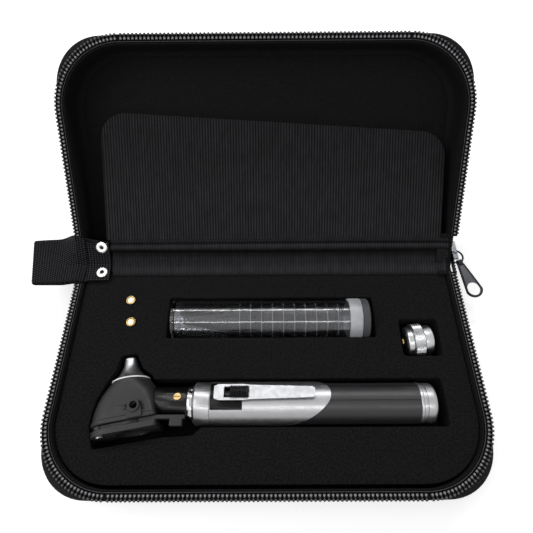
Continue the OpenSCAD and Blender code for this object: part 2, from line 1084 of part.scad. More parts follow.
// Screw-on cap with a stepped rim and one groove.
module end_cap() {
    d = handle_d - 1.6;
    color("#c6c8ca")
        on_handle()
            translate([cap_x + 0.1, 0, 0])
                rotate([0, 90, 0])
                    difference() {
                        union() {
                            cylinder(d = handle_d - 0.3, h = 0.8);
                            translate([0, 0, 0.8])
                                cylinder(d1 = handle_d - 0.3, d2 = d, h = 0.8);
                            translate([0, 0, 1.6])
                                cylinder(d = d, h = 5.8);
                            translate([0, 0, 7.4])
                                cylinder(d1 = d, d2 = d - 1.4, h = 0.8);
                            translate([0, 0, -4.5])
                                cylinder(d = bore_d - 0.1, h = 4.6);
                        }
                        translate([0, 0, -5])
                            cylinder(d = 12.6, h = 5.5);
                        translate([0, 0, 4.6])
                            difference() {
                                cylinder(d = 30, h = 0.5);
                                translate([0, 0, -1])
                                    cylinder(d = d - 0.8, h = 3);
                            }
                    }
}

module batteries() {
    color("#7f8790")
        on_handle()
            for (i = [1, 2])
                translate([cap_x - spring_l + 0.2 - i*(cell_l + 0.1), 0, 0])
                    rotate([0, 90, 0]) {
                        cylinder(d = cell_d, h = cell_l - 1.2);
                        translate([0, 0, cell_l - 1.2])
                            cylinder(d = 5.2, h = 1.2);
                    }
}

module battery_spring() {
    color("#c9cbcc")
        on_handle()
            translate([cap_x - spring_l + 0.4, 0, 0])
                rotate([0, 90, 0])
                    spring_coil(4, 0.4, spring_l, 4);
}

// Open coil spring as one unbroken wire.
module spring_coil(r, wire, h, turns) {
    steps = 12*turns;
    sides = 6;
    points = [
        for (i = [0:steps])
            let (a = 360*turns*i/steps, z = wire + (h - 2*wire)*i/steps)
                for (j = [0:sides - 1])
                    let (b = 360*j/sides)
                        [(r + wire*cos(b))*cos(a), (r + wire*cos(b))*sin(a), z + wire*sin(b)]
    ];
    first = [[for (j = [0:sides - 1]) j]];
    last = [[for (j = [sides - 1:-1:0]) steps*sides + j]];
    walls = [
        for (i = [0:steps - 1])
            for (j = [0:sides - 1])
                for (k = [0, 1])
                    let (a = i*sides + j, b = i*sides + (j + 1) % sides, c = a + sides, d = b + sides)
                        k == 0 ? [a, c, b] : [b, c, d]
    ];
    polyhedron(points, concat(first, walls, last));
}

// Specula tube.

module on_tube() {
    on_base()
        translate([tube_x, tube_y, tube_z])
            rotate([0, 90, 0])
                children();
}

module tube_body() {
    color("#cdd6dc", 0.4)
        on_tube()
            difference() {
                union() {
                    cylinder(d = tube_d, h = tube_l);
                    translate([0, 0, 1.6])
                        cylinder(d = tube_d + 1, h = 1.4);
                }
                translate([0, 0, -1])
                    cylinder(d = tube_d - 2*tube_wall, h = tube_l + 2);
            }
}

// Clear plug with a double flange.
module tube_plug() {
    color("#cdd6dc", 0.5)
        on_tube() {
            translate([0, 0, -3])
                cylinder(d = tube_d + 1, h = 1.2);
            translate([0, 0, -1.8])
                cylinder(d = tube_d - 1.4, h = 1);
            translate([0, 0, -0.8])
                cylinder(d = tube_d + 1, h = 0.8);
            cylinder(d = tube_d - 2*tube_wall - 2*press, h = 1.6);
        }
}

module specula() {
    rim_r = tube_d/2 - tube_wall - 0.4;
    color("#303234")
        on_tube()
            for (i = [0:specula_count - 1])
                translate([0, 0, 33 + i*specula_pitch])
                    speculum(rim_r);
}

// One ear speculum: rolled rim and a hollow cone that narrows towards the plug end.
module speculum(rim_r) {
    rotate_extrude()
        polygon([
            [rim_r, 0],
            [rim_r, 0.9],
            [rim_r - 1, 0.9],
            [1.5, -29],
            [2, -29],
            [rim_r - 0.5, 0]
        ]);
}

module tube_cap() {
    color("#d4d7da", 0.6)
        on_tube()
            translate([0, 0, tube_l - 9])
                difference() {
                    cylinder(r = cap_r, h = 9.05);
                    translate([0, 0, -1])
                        cylinder(d = tube_d + 0.1, h = 20);
                }
}

// Dark end of the cap, with a rounded edge.
module cap_disc() {
    color("#3d3e40")
        on_tube()
            translate([0, 0, tube_l + 0.05]) {
                cylinder(r = cap_r - 0.1, h = 2.6);
                translate([0, 0, 2.6])
                    cylinder(r1 = cap_r - 0.1, r2 = cap_r - 1.4, h = 1.2);
            }
}

// Adapter.

module on_adapter() {
    on_base()
        translate(adapter_c)
            rotate([0, 90, 0])
                translate([0, 0, -adapter_l/2])
                    children();
}

module adapter_shell() {
    d = adapter_d - 1.2;
    knurls = 48;
    color("#c4c6c9")
        on_adapter()
            difference() {
                union() {
                    translate([0, 0, 1.6])
                        cylinder(d = d, h = adapter_l - 1.6);
                    translate([0, 0, 5])
                        linear_extrude(7.2)
                            difference() {
                                circle(d = adapter_d);
                                for (i = [0:knurls - 1])
                                    rotate(i*360/knurls)
                                        translate([adapter_d/2, 0])
                                            rotate(45)
                                                square(0.5, center = true);
                            }
                }
                translate([0, 0, -1])
                    cylinder(d = d - 2.4, h = adapter_l - 1);
            }
}

module adapter_insulator() {
    color("#141416")
        on_adapter()
            difference() {
                union() {
                    cylinder(d1 = adapter_d - 4.4, d2 = adapter_d - 3.8, h = 1.6);
                    translate([0, 0, 1.6])
                        cylinder(d = adapter_d - 3.6 - 2*press, h = 5);
                }
                translate([0, 0, -1])
                    cylinder(d = 5, h = 3.2);
            }
}

module adapter_contact() {
    color("#b8944a")
        on_adapter() {
            translate([0, 0, 0.2])
                cylinder(d = 4.4, h = 2);
            translate([0, 0, -0.8])
                cylinder(d1 = 1.4, d2 = 2.4, h = 1);
        }
}

// Spare lamps.

module lamp_base(y) {
    color("#c9a653")
        on_base()
            translate([lamp_x, y, 0]) {
                translate([0, 0, 6.2])
                    cylinder(d = lamp_d, h = foam_top - 6.2 - 0.2);
                translate([0, 0, foam_top - 0.2])
                    cylinder(d = lamp_d + 0.2, h = 0.9);
            }
}

module lamp_glass(y) {
    color("#dfe6ea", 0.6)
        on_base()
            translate([lamp_x, y, foam_top + 0.7]) {
                cylinder(d = lamp_d - 1, h = 0.7);
                translate([0, 0, 0.7])
                    intersection() {
                        sphere(d = lamp_d - 1);
                        translate([-5, -5, 0])
                            cube([10, 10, 10]);
                    }
            }
}

module spare_lamp_back() {
    lamp_base(lamp_y[0]);
}

module spare_lamp_back_glass() {
    lamp_glass(lamp_y[0]);
}

module spare_lamp_front() {
    lamp_base(lamp_y[1]);
}

module spare_lamp_front_glass() {
    lamp_glass(lamp_y[1]);
}

base_shell();
lid_shell();
lid_lining();
foam_insert();
zip_row_base();
zip_row_lid();
zip_bottom_stop();
zip_slider();
pull_ring();
zip_puller();
hinge_strip_base();
hinge_strip_lid();
tape_end_tab();
divider_flap();
handle_strap();
strap_end_lid();
strap_rivet_base();
strap_rivet_lid();
head_housing();
head_cone();
cone_ring();
lens_frame();
lens_pivot();
lens_carrier();
viewing_lens();
port_nipple();
neck();
lamp();
neck_screw();
chrome_ring();
collar();
handle_tube();
sleeve();
switch_base();
pocket_clip();
slide_switch();
end_cap();
batteries();
battery_spring();
tube_body();
tube_plug();
specula();
tube_cap();
cap_disc();
adapter_shell();
adapter_insulator();
adapter_contact();
spare_lamp_back();
spare_lamp_back_glass();
spare_lamp_front();
spare_lamp_front_glass();
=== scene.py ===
"""Otoscope carry case with its kit: finishes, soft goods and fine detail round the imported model."""

import json
import math

import bmesh
import bpy
from bpy.props import FloatProperty, FloatVectorProperty, PointerProperty
from bpy.types import Operator, Panel, PropertyGroup
from mathutils import Matrix, Vector


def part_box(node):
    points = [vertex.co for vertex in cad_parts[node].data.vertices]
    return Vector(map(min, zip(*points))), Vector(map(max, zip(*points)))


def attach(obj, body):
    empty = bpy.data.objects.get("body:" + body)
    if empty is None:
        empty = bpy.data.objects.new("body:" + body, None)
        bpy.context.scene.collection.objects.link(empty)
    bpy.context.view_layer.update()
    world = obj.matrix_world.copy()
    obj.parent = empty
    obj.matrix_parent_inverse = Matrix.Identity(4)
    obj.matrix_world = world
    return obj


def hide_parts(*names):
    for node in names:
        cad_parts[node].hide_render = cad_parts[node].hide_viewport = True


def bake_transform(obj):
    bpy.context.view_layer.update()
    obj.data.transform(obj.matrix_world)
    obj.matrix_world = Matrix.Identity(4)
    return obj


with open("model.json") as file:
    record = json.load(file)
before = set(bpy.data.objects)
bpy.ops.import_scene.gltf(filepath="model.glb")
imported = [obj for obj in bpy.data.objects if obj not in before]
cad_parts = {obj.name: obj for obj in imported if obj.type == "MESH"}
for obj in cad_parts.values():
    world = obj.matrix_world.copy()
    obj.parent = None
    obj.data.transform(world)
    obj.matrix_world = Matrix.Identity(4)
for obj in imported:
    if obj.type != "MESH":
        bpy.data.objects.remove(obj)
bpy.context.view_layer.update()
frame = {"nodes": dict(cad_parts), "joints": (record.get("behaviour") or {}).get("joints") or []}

bl_info = {
    "name": "Otoscope Carry Case",
    "version": (1, 0, 0),
    "blender": (4, 5, 0),
    "location": "3D View > Sidebar > Carry Case",
    "description": "Builds the finishes, cloth, webbing and zip of an otoscope carry case",
    "category": "Object",
}

# Everything is in metres. MM turns a size in millimetres into metres.
MM = 0.001
NODES = frame["nodes"]
JOINTS = {joint["name"]: joint for joint in frame["joints"]}

# Sizes that the frame gives. The row of teeth on the base sets the outline of both halves.
TEETH_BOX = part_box("zip_row_base")
FOAM_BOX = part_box("foam_insert")
STRAP_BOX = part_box("handle_strap")
ZIP_HW = -TEETH_BOX[0].x
HINGE_Y = -TEETH_BOX[0].y
CASE_D = 2 * HINGE_Y
HALF_H = TEETH_BOX[1].z
RIM_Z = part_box("base_shell")[1].z
LID_ANGLE = math.radians(JOINTS["lid_hinge"]["range_deg"][1])
FOAM_TOP = FOAM_BOX[1].z
ZIP_R = 35 * MM
TOOTH_L = 3.2 * MM
TOOTH_PITCH = 1.85 * MM
# Columns of points to each rib of the ribbed cloth.
PER_RIB = 8
ROW_H = HALF_H - RIM_Z
# The rows of teeth start this far from the hinge: base left, base right, lid left, lid right.
ROW_START = (10.4 * MM, 4 * MM, 13.8 * MM, 15.1 * MM)
# Line where the flap is sewn to the lid, and its lean.
FOLD_S = 14 * MM
FOLD_OFF = 1.5 * MM
FLAP_LEAN = math.radians(10.5)
# Axis of the otoscope in the base, its head and its handle.
OTO_Y = -72 * MM
OTO_Z = 13.6 * MM
HEAD_X = -63.8 * MM
HEAD_TURN = math.radians(10)
CLIP_ROLL = math.radians(13)
TUBE_Y = -29.2 * MM
TUBE_Z = 12.9 * MM

ON_BASE = Matrix.Translation((0, HINGE_Y, 0))
ON_LID = (
    Matrix.Translation((0, HINGE_Y, HALF_H))
    @ Matrix.Rotation(LID_ANGLE, 4, "X")
    @ Matrix.Translation((0, 0, -HALF_H))
)
MIRROR_Y = Matrix.Scale(-1, 4, (0, 1, 0))
LID_HALF = ON_LID @ MIRROR_Y
ON_FLAP = (
    ON_LID @ Matrix.Translation((0, FOLD_S, HALF_H - FOLD_OFF)) @ Matrix.Rotation(-FLAP_LEAN, 4, "X")
)
ON_HANDLE = ON_BASE @ Matrix.Translation((0, OTO_Y, OTO_Z)) @ Matrix.Rotation(-CLIP_ROLL, 4, "X")
ON_HEAD = ON_BASE @ Matrix.Translation((HEAD_X, OTO_Y, OTO_Z)) @ Matrix.Rotation(HEAD_TURN, 4, "Z")
# Along the axes of the tube and of the handle, for turned pieces whose heights are places in X.
TUBE_AXIS = ON_BASE @ Matrix.Translation((0, TUBE_Y, TUBE_Z)) @ Matrix.Rotation(math.pi / 2, 4, "Y")
HANDLE_AXIS = ON_BASE @ Matrix.Translation((0, OTO_Y, OTO_Z)) @ Matrix.Rotation(math.pi / 2, 4, "Y")
ADAPTER_AXIS = (
    ON_BASE
    @ Matrix.Translation((76.2 * MM, -40.6 * MM, 12 * MM))
    @ Matrix.Rotation(math.radians(6), 4, "Z")
    @ Matrix.Rotation(math.pi / 2, 4, "Y")
)
# Places of the two spare lamps.
LAMPS = {"spare_lamp_back": (-71.4, -19.3), "spare_lamp_front": (-69.6, -31.6)}


def linear(code):
    """Turns an sRGB hex colour into linear red, green and blue."""
    parts = [int(code[i:i + 2], 16) / 255 for i in (1, 3, 5)]
    return tuple(c / 12.92 if c <= 0.04045 else ((c + 0.055) / 1.055) ** 2.4 for c in parts)


def colour(label, description, code):
    """A colour that the user can change."""
    return FloatVectorProperty(
        name=label,
        description=description,
        subtype="COLOR",
        size=3,
        min=0,
        max=1,
        default=linear(code),
    )


def length(label, description, mm):
    """A length that the user can change."""
    return FloatProperty(
        name=label,
        description=description,
        unit="LENGTH",
        subtype="DISTANCE",
        min=0,
        default=mm * MM,
    )


def watts(label, description, power):
    """The power of a lamp that the user can change."""
    return FloatProperty(name=label, description=description, unit="POWER", min=0, default=power)


class CaseLooks(PropertyGroup):
    """Sizes and colours of the case and its soft parts."""

    shell: colour("Shell", "Leather cloth outside the shells", "#18181a")
    lining: colour("Lining", "Brushed lining of the lid", "#1b1b1c")
    foam: colour("Foam", "Die-cut foam insert", "#181819")
    flap: colour("Flap", "Ribbed cloth of the flap and the hinge", "#222224")
    tape: colour("Zip tape", "Woven tape of the zip", "#101011")
    # The piping is a real bead; its grey, far lighter than the tape, is partly a painted highlight along
    # it.
    piping: colour("Piping", "Thin bead inside the teeth", "#47474a")
    teeth: colour("Zip teeth", "Nylon teeth", "#09090a")
    # Painted highlight: the tops of the teeth's two humps get this lighter colour in place of glints of
    # light.
    painted_tooth_highlight: colour("Tooth tops", "Tops of the teeth, polished by the slider", "#88888b")
    webbing: colour("Webbing", "Webbing of the strap", "#151517")
    foam_round: length("Foam edge", "Rounding of the cut edges of the foam", 0.5)
    rib_pitch: length("Rib pitch", "Distance between the ribs of the flap", 1.45)
    rib_height: length("Rib height", "Height of the ribs of the flap", 0.16)
    weft_pitch: length("Weft pitch", "Distance between the bumps along the webbing", 1.5)
    warp_pitch: length("Warp pitch", "Distance between the bumps across the webbing", 1.1)
    strap_t: length("Webbing thickness", "Thickness of the webbing", 1.5)


class KitLooks(PropertyGroup):
    """Colours of the metal and plastic pieces."""

    head: colour("Head", "Moulded head of the otoscope", "#262628")
    frame: colour("Lens frame", "Moulded frame behind the head", "#28282a")
    handle: colour("Handle", "Black handle tube", "#1e1e20")
    satin: colour("Satin metal", "Blasted aluminium of sleeve, collar and cap", "#a6a6a8")
    bright: colour("Bright metal", "Satin steel clip", "#98999b")
    slider: colour("Slider", "Nickel-plated slider", "#5c5e60")
    gunmetal: colour("Ring", "Dark-plated ring and rim of the puller", "#2b2c2f")
    puller_face: colour("Puller", "Face of the puller", "#55565a")
    gold: colour("Lamp", "Plated brass of the lamps", "#dcc08a")
    cap: colour("Tube cap", "Grey disc of the tube cap", "#4a4b4d")


class StudioLooks(PropertyGroup):
    """Camera and lamps."""

    lens: FloatProperty(
        name="Lens", description="Focal length", min=10, max=200, default=29.04, subtype="DISTANCE_CAMERA"
    )
    ambient: FloatProperty(
        name="Ambient", description="Strength of the room light", min=0, max=2, default=0.32
    )
    back_strip: watts("Back strip", "Strip light behind the case", 2.0)
    front_strip: watts("Front strip", "Strip light in front of the case", 1.1)
    softbox: watts("Softbox", "Broad lamp at the left", 1.4)


# Nodes and materials.


def add(tree, kind, inputs=None, **settings):
    """Adds a node with its settings, and gives each input named a value or a link."""
    made = tree.nodes.new(kind)
    for name, value in settings.items():
        setattr(made, name, value)
    for name, value in (inputs or {}).items():
        socket = made.inputs[name]
        if isinstance(value, bpy.types.NodeSocket):
            tree.links.new(value, socket)
        else:
            socket.default_value = value
    return made


def new_material(name):
    """An empty node material and its tree."""
    made = bpy.data.materials.new(name)
    made.use_nodes = True
    made.node_tree.nodes.clear()
    return made, made.node_tree


def surface(tree, inputs):
    """Adds the surface shader with these inputs, and the output."""
    shader = add(tree, "ShaderNodeBsdfPrincipled", inputs)
    add(tree, "ShaderNodeOutputMaterial", {"Surface": shader.outputs["BSDF"]})
    return shader


def sized(tree, size_mm, stretch=(1, 1, 1)):
    """Inputs of a pattern whose features are size_mm across on the object, stretched along its axes."""
    spot = add(tree, "ShaderNodeTexCoord").outputs["Object"]
    place = add(tree, "ShaderNodeMapping", {"Vector": spot, "Scale": stretch}).outputs[0]
    return {"Vector": place, "Scale": 1 / (size_mm * MM)}


def relief(tree, size_mm, height_mm, stretch=(1, 1, 1), detail=2.0, under=None):
    """Normal of a soft random relief of this size and height, laid over the normal given."""
    pattern = add(tree, "ShaderNodeTexNoise", {**sized(tree, size_mm, stretch), "Detail": detail})
    inputs = {"Height": pattern.outputs["Fac"], "Distance": height_mm * MM, "Strength": 1.0}
    if under is not None:
        inputs["Normal"] = under
    return add(tree, "ShaderNodeBump", inputs).outputs["Normal"]


def uneven(tree, size_mm, low, high):
    """A number that wanders between low and high from place to place."""
    pattern = add(tree, "ShaderNodeTexNoise", {**sized(tree, size_mm), "Detail": 2.0}).outputs["Fac"]
    limits = {"Value": pattern, "From Min": 0.3, "From Max": 0.7, "To Min": low, "To Max": high}
    return add(tree, "ShaderNodeMapRange", limits).outputs[0]


def times(rgb, factor):
    """A colour made darker or lighter."""
    return tuple(c * factor for c in rgb)


def shade(tree, pattern, rgb, change):
    """The colour rgb, made darker and lighter by the share given as a pattern goes."""
    low = (*times(rgb, 1 - change), 1)
    high = (*times(rgb, 1 + change), 1)
    limits = {"Value": pattern, "From Min": 0.3, "From Max": 0.7, "To Min": 0, "To Max": 1}
    factor = add(tree, "ShaderNodeMapRange", limits).outputs[0]
    return add(tree, "ShaderNodeMix", {0: factor, 6: low, 7: high}, data_type="RGBA").outputs[2]


def mottled(tree, size_mm, rgb, change, detail=2.0):
    """The colour rgb with soft darker and lighter spots of this size."""
    pattern = add(tree, "ShaderNodeTexNoise", {**sized(tree, size_mm), "Detail": detail}).outputs["Fac"]
    return shade(tree, pattern, rgb, change)


def painted_light(tree, inputs, hollow, top):
    """Painted light: the colour top, a painted highlight, where the mark on the points is 1, and hollow
    where it is 0, both mottled by the inputs.
    """
    pattern = add(tree, "ShaderNodeTexNoise", inputs).outputs["Fac"]
    height = add(tree, "ShaderNodeAttribute", attribute_name="painted_light").outputs["Fac"]
    low = shade(tree, pattern, hollow, 0.2)
    high = shade(tree, pattern, top, 0.2)
    return add(tree, "ShaderNodeMix", {0: height, 6: low, 7: high}, data_type="RGBA").outputs[2]


def leather_cloth(rgb):
    """Calendered PU leather cloth: a fine pebble grain with soft, broken highlights."""
    made, tree = new_material("pu_leather_cloth")
    pebbles = add(tree, "ShaderNodeTexVoronoi", sized(tree, 0.75)).outputs["Distance"]
    grain = add(tree, "ShaderNodeBump", {"Height": pebbles, "Distance": 0.16 * MM, "Strength": 1.0})
    surface(tree, {
        "Base Color": shade(tree, pebbles, rgb, 0.4),
        "Roughness": uneven(tree, 1.2, 0.5, 0.64),
        "Specular IOR Level": 0.07,
        "Normal": relief(tree, 0.25, 0.02, under=grain.outputs["Normal"]),
    })
    return made


def brushed_lining(rgb):
    """Brushed polyester knit: a very dark, dry nap with a faint sheen."""
    made, tree = new_material("brushed_polyester_lining")
    surface(tree, {
        "Base Color": mottled(tree, 0.8, rgb, 0.25, detail=4),
        "Roughness": 0.95,
        "Specular IOR Level": 0.02,
        "Normal": relief(tree, 0.5, 0.09, detail=4),
    })
    return made


def cut_foam(rgb):
    """Closed-cell polyethylene foam with a velvety skin: fine cells that give a dry, speckled black."""
    made, tree = new_material("closed_cell_foam")
    cells = add(tree, "ShaderNodeTexVoronoi", sized(tree, 0.45)).outputs["Distance"]
    skin = add(tree, "ShaderNodeBump", {"Height": cells, "Distance": 0.06 * MM, "Strength": 1.0})
    surface(tree, {
        "Base Color": mottled(tree, 0.9, rgb, 0.45, detail=5),
        "Roughness": 0.92,
        "Specular IOR Level": 0.03,
        "Normal": relief(tree, 0.9, 0.06, detail=4, under=skin.outputs["Normal"]),
    })
    return made


def ribbed_cloth(rgb):
    """Ribbed nylon cloth: ribs are modelled, and the yarns across them are drawn about 0.6 mm apart. The
    rib tops are painted lighter as painted highlight, and the hollows and folds darker as painted shade.
    """
    made, tree = new_material("ribbed_nylon_cloth")
    across = {**sized(tree, math.pi * 0.6), "Distortion": 1.5, "Detail": 1.0, "Detail Scale": 1.0}
    yarns = add(tree, "ShaderNodeTexWave", across, bands_direction="Y").outputs["Fac"]
    weave = add(tree, "ShaderNodeBump", {"Height": yarns, "Distance": 0.035 * MM, "Strength": 1.0})
    streaks = {**sized(tree, 2.5, (1, 0.3, 0.3)), "Detail": 3}
    surface(tree, {
        "Base Color": painted_light(tree, streaks, times(rgb, 0.22), times(rgb, 1.6)),
        "Roughness": uneven(tree, 3, 0.6, 0.75),
        "Specular IOR Level": 0.06,
        "Normal": relief(tree, 0.3, 0.03, under=weave.outputs["Normal"]),
    })
    return made


def woven_tape(name, rgb):
    """Woven polyester tape: a close herringbone that reads as a fine dry grain."""
    made, tree = new_material(name)
    surface(tree, {
        "Base Color": mottled(tree, 0.6, rgb, 0.35),
        "Roughness": 0.8,
        "Specular IOR Level": 0.08,
        "Normal": relief(tree, 0.4, 0.12, detail=3),
    })
    return made


def nylon_teeth(rgb, top):
    """Extruded nylon: glossy black teeth whose two humps are painted lighter on top as a painted highlight,
    so each shows two spots.
    """
    made, tree = new_material("nylon_monofilament")
    surface(tree, {
        "Base Color": painted_light(tree, {**sized(tree, 2), "Detail": 2.0}, rgb, top),
        "Roughness": uneven(tree, 1, 0.16, 0.26),
        "Specular IOR Level": 0.2,
        "Normal": relief(tree, 0.4, 0.006),
    })
    return made


def polypropylene_webbing(rgb):
    """Basket-woven polypropylene: the bumps are modelled, with fine filaments along them. Their tops are
    painted lighter as painted highlight, and the dips between them darker as painted shade.
    """
    made, tree = new_material("polypropylene_webbing")
    spots = {**sized(tree, 1.2), "Detail": 2.0}
    surface(tree, {
        "Base Color": painted_light(tree, spots, times(rgb, 0.03), times(rgb, 7.5)),
        "Roughness": uneven(tree, 1.5, 0.45, 0.6),
        "Specular IOR Level": 0.03,
        "Normal": relief(tree, 0.3, 0.05, (0.25, 1, 1), detail=3),
    })
    return made


def metal(name, rgb, roughness, lines_mm=0.0, along=(1, 1, 1), change=0.04):
    """A bare or plated metal.

    lines_mm is the spacing of its brush or blast marks, drawn out along an axis.
    """
    made, tree = new_material(name)
    inputs = {
        "Base Color": mottled(tree, 4, rgb, change),
        "Metallic": 1.0,
        "Roughness": uneven(tree, 2.2, roughness * 0.85, roughness * 1.15),
    }
    if lines_mm:
        inputs["Normal"] = relief(tree, lines_mm, 0.006, along, detail=3)
    surface(tree, inputs)
    return made


def moulded(name, rgb, roughness, grain_mm, grain_height_mm, level=0.5):
    """A moulded plastic with the spark-eroded grain of its mould."""
    made, tree = new_material(name)
    surface(tree, {
        "Base Color": mottled(tree, 5, rgb, 0.08),
        "Roughness": uneven(tree, 3, roughness * 0.9, roughness * 1.12),
        "Specular IOR Level": level,
        "Normal": relief(tree, grain_mm, grain_height_mm, detail=3),
    })
    return made


def clear_plastic(name, rgb, roughness, ior, grain_mm=8, grain_height_mm=0.02, milk=0.0):
    """A clear moulded plastic or glass. Slow waves in it break up what shows through.

    milk is the share of its light that it scatters, as a frosted one does.
    """
    made, tree = new_material(name)
    surface(tree, {
        "Base Color": (*rgb, 1),
        "Roughness": roughness,
        "IOR": ior,
        "Transmission Weight": 1.0 - milk,
        "Normal": relief(tree, grain_mm, grain_height_mm),
    })
    return made


# Meshes.


def mesh_object(name, verts, faces, matrix=None):
    """An object from points and faces."""
    mesh = bpy.data.meshes.new(name)
    mesh.from_pydata([tuple(v) for v in verts], [], faces)
    return smooth_object(name, mesh, matrix)


def smooth_object(name, mesh, matrix=None, weld=False):
    """An object of a mesh that is moved by the matrix, with its faces smooth and turned outwards."""
    if matrix is not None:
        mesh.transform(matrix)
    shape = bmesh.new()
    shape.from_mesh(mesh)
    if weld:
        bmesh.ops.remove_doubles(shape, verts=shape.verts, dist=0.001 * MM)
    bmesh.ops.recalc_face_normals(shape, faces=shape.faces)
    shape.to_mesh(mesh)
    shape.free()
    mesh.polygons.foreach_set("use_smooth", [True] * len(mesh.polygons))
    made = bpy.data.objects.new(name, mesh)
    bpy.context.scene.collection.objects.link(made)
    return made


def sharpen(obj, degrees=35):
    """Keeps edges sharper than this angle crisp."""
    obj.data.set_sharp_from_angle(angle=math.radians(degrees))
    return obj


def loft(rings, capped=True):
    """Points and faces through closed rings of equal count, with or without caps on the two ends."""
    count = len(rings[0])
    verts = [p for ring in rings for p in ring]
    faces = [
        (i * count + j, i * count + (j + 1) % count, (i + 1) * count + (j + 1) % count, (i + 1) * count + j)
        for i in range(len(rings) - 1)
        for j in range(count)
    ]
    if capped:
        faces.append(tuple(range(count)))
        faces.append(tuple((len(rings) - 1) * count + j for j in range(count)))
    return verts, faces


def merged(parts):
    """Points and faces of many small shapes in one list each."""
    verts, faces = [], []
    for points, skin in parts:
        start = len(verts)
        verts += points
        faces += [tuple(i + start for i in face) for face in skin]
    return verts, faces


def in_mm(points):
    """Points given in millimetres, in metres."""
    return [tuple(c * MM for c in point) for point in points]


def circle(x, y, radius, count):
    """Points of a circle round x and y."""
    turns = [2 * math.pi * i / count for i in range(count)]
    return [(x + radius * math.cos(turn), y + radius * math.sin(turn)) for turn in turns]


def lid_point(s, off):
    """Point on the lid, s up from the hinge line and off in front of the rim plane, in mm."""
    return tuple(ON_LID @ Vector((0, s * MM, HALF_H + off * MM)))


def across_hinge(base, lid):
    """Line in the plane of Y and Z: places on the base from the hinge, then as for lid_point, in mm."""
    low = [Vector((0, HINGE_Y + y * MM, z * MM)) for y, z in base]
    return low + [Vector(lid_point(s, off)) for s, off in lid]


def heading(line, i):
    """Direction of a line of points at its point i."""
    return (line[min(len(line) - 1, i + 1)] - line[max(0, i - 1)]).normalized()


def smooth_line(points, per):
    """A smooth line through points, with per points to each stretch."""
    line = []
    last = len(points) - 1
    for i in range(last):
        p0, p1, p2, p3 = points[max(0, i - 1)], points[i], points[i + 1], points[min(last, i + 2)]
        for k in range(per):
            t = k / per
            linear_part = (p2 - p0) * t
            square_part = (2 * p0 - 5 * p1 + 4 * p2 - p3) * t * t
            cube_part = (3 * p1 - p0 - 3 * p2 + p3) * t ** 3
            line.append(0.5 * (2 * p1 + linear_part + square_part + cube_part))
    return line + [points[-1]]


def revolve(profile, steps=48):
    """Points and faces of a closed profile in mm, of radius and height, turned about Z.

    The profile may be a function that gives it for each angle.
    """
    rings = []
    for i in range(steps):
        turn = 2 * math.pi * i / steps
        section = profile(turn) if callable(profile) else profile
        rings.append([(r * MM * math.cos(turn), r * MM * math.sin(turn), h * MM) for r, h in section])
    verts, faces = loft(rings + [rings[0]], capped=False)
    last = steps * len(rings[0])
    faces = [tuple(i - last if i >= last else i for i in face) for face in faces]
    return verts[:last], faces


def lathe(name, profile, matrix, steps=64, crisp=35):
    """A turned piece."""
    return sharpen(mesh_object(name, *revolve(profile, steps), matrix), crisp)


def mark(obj, heights):
    """Keeps at each point its share of painted light, from 0 to 1, for the material to read."""
    layer = obj.data.attributes.new("painted_light", "FLOAT", "POINT")
    layer.data.foreach_set("value", heights)


def cloth(name, rows, crisp, matrix=None):
    """A cloth with two sides. Each place in a row has its front and back points and its share of painted
    light.
    """
    rings, heights = [], []
    for row in rows:
        front, back, painted_light_share = zip(*row)
        rings.append(front + back[::-1])
        heights += painted_light_share + painted_light_share[::-1]
    made = sharpen(mesh_object(name, *loft(rings), matrix), crisp)
    mark(made, heights)
    return made


def rib_at(column):
    """Height of a rib at a column of points, from 0 to 1."""
    return 0.5 + 0.5 * math.cos(2 * math.pi * column / PER_RIB)


def dress(material, *names):
    """Gives CAD nodes a material, in their objects' material slots."""
    for name in names:
        obj = NODES[name]
        if not obj.material_slots:
            obj.data.materials.append(material)
        for slot in obj.material_slots:
            slot.material = material


def seat(obj, material, body, slot, *replaced):
    """Gives a new piece its material, its body and the nodes that it stands for; slot is not used."""
    obj.data.materials.clear()
    obj.data.materials.append(material)
    if body:
        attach(obj, body)
    if replaced:
        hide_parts(*replaced)
    return obj


def soften(width_mm, *names):
    """Rounds the sharp edges of rigid CAD nodes a little, so that they catch the light."""
    for name in names:
        obj = NODES[name]
        weld = obj.modifiers.new("weld", "WELD")
        weld.merge_threshold = 0.002 * MM
        edges = obj.modifiers.new("edges", "BEVEL")
        edges.width = width_mm * MM
        edges.segments = 2
        edges.limit_method = "ANGLE"
        edges.angle_limit = math.radians(40)
        edges.harden_normals = True


def plate(name, outlines, low, high, rounding, matrix=None):
    """A flat plate with rounded edges. The first outline is its edge, and the others are its holes."""
    curve = bpy.data.curves.new(name, "CURVE")
    curve.dimensions = "2D"
    curve.fill_mode = "BOTH"
    curve.extrude = (high - low) / 2 - rounding
    curve.bevel_depth = rounding
    curve.bevel_resolution = 3
    for index, outline in enumerate(outlines):
        points = shifted(outline, -rounding if index == 0 else rounding)
        spline = curve.splines.new("POLY")
        spline.points.add(len(points) - 1)
        for point, (x, y) in zip(spline.points, points):
            point.co = (x, y, 0, 1)
        spline.use_cyclic_u = True
    holder = bpy.data.objects.new(name + "_outline", curve)
    bpy.context.scene.collection.objects.link(holder)
    mesh = mesh_of(holder)
    bpy.data.objects.remove(holder)
    mesh.transform(Matrix.Translation((0, 0, (low + high) / 2)))
    mesh.name = name
    return sharpen(smooth_object(name, mesh, matrix, weld=True), 50)


def mesh_of(obj):
    """Mesh of an object with its modifiers applied."""
    bpy.context.view_layer.update()
    return bpy.data.meshes.new_from_object(obj.evaluated_get(bpy.context.evaluated_depsgraph_get()))


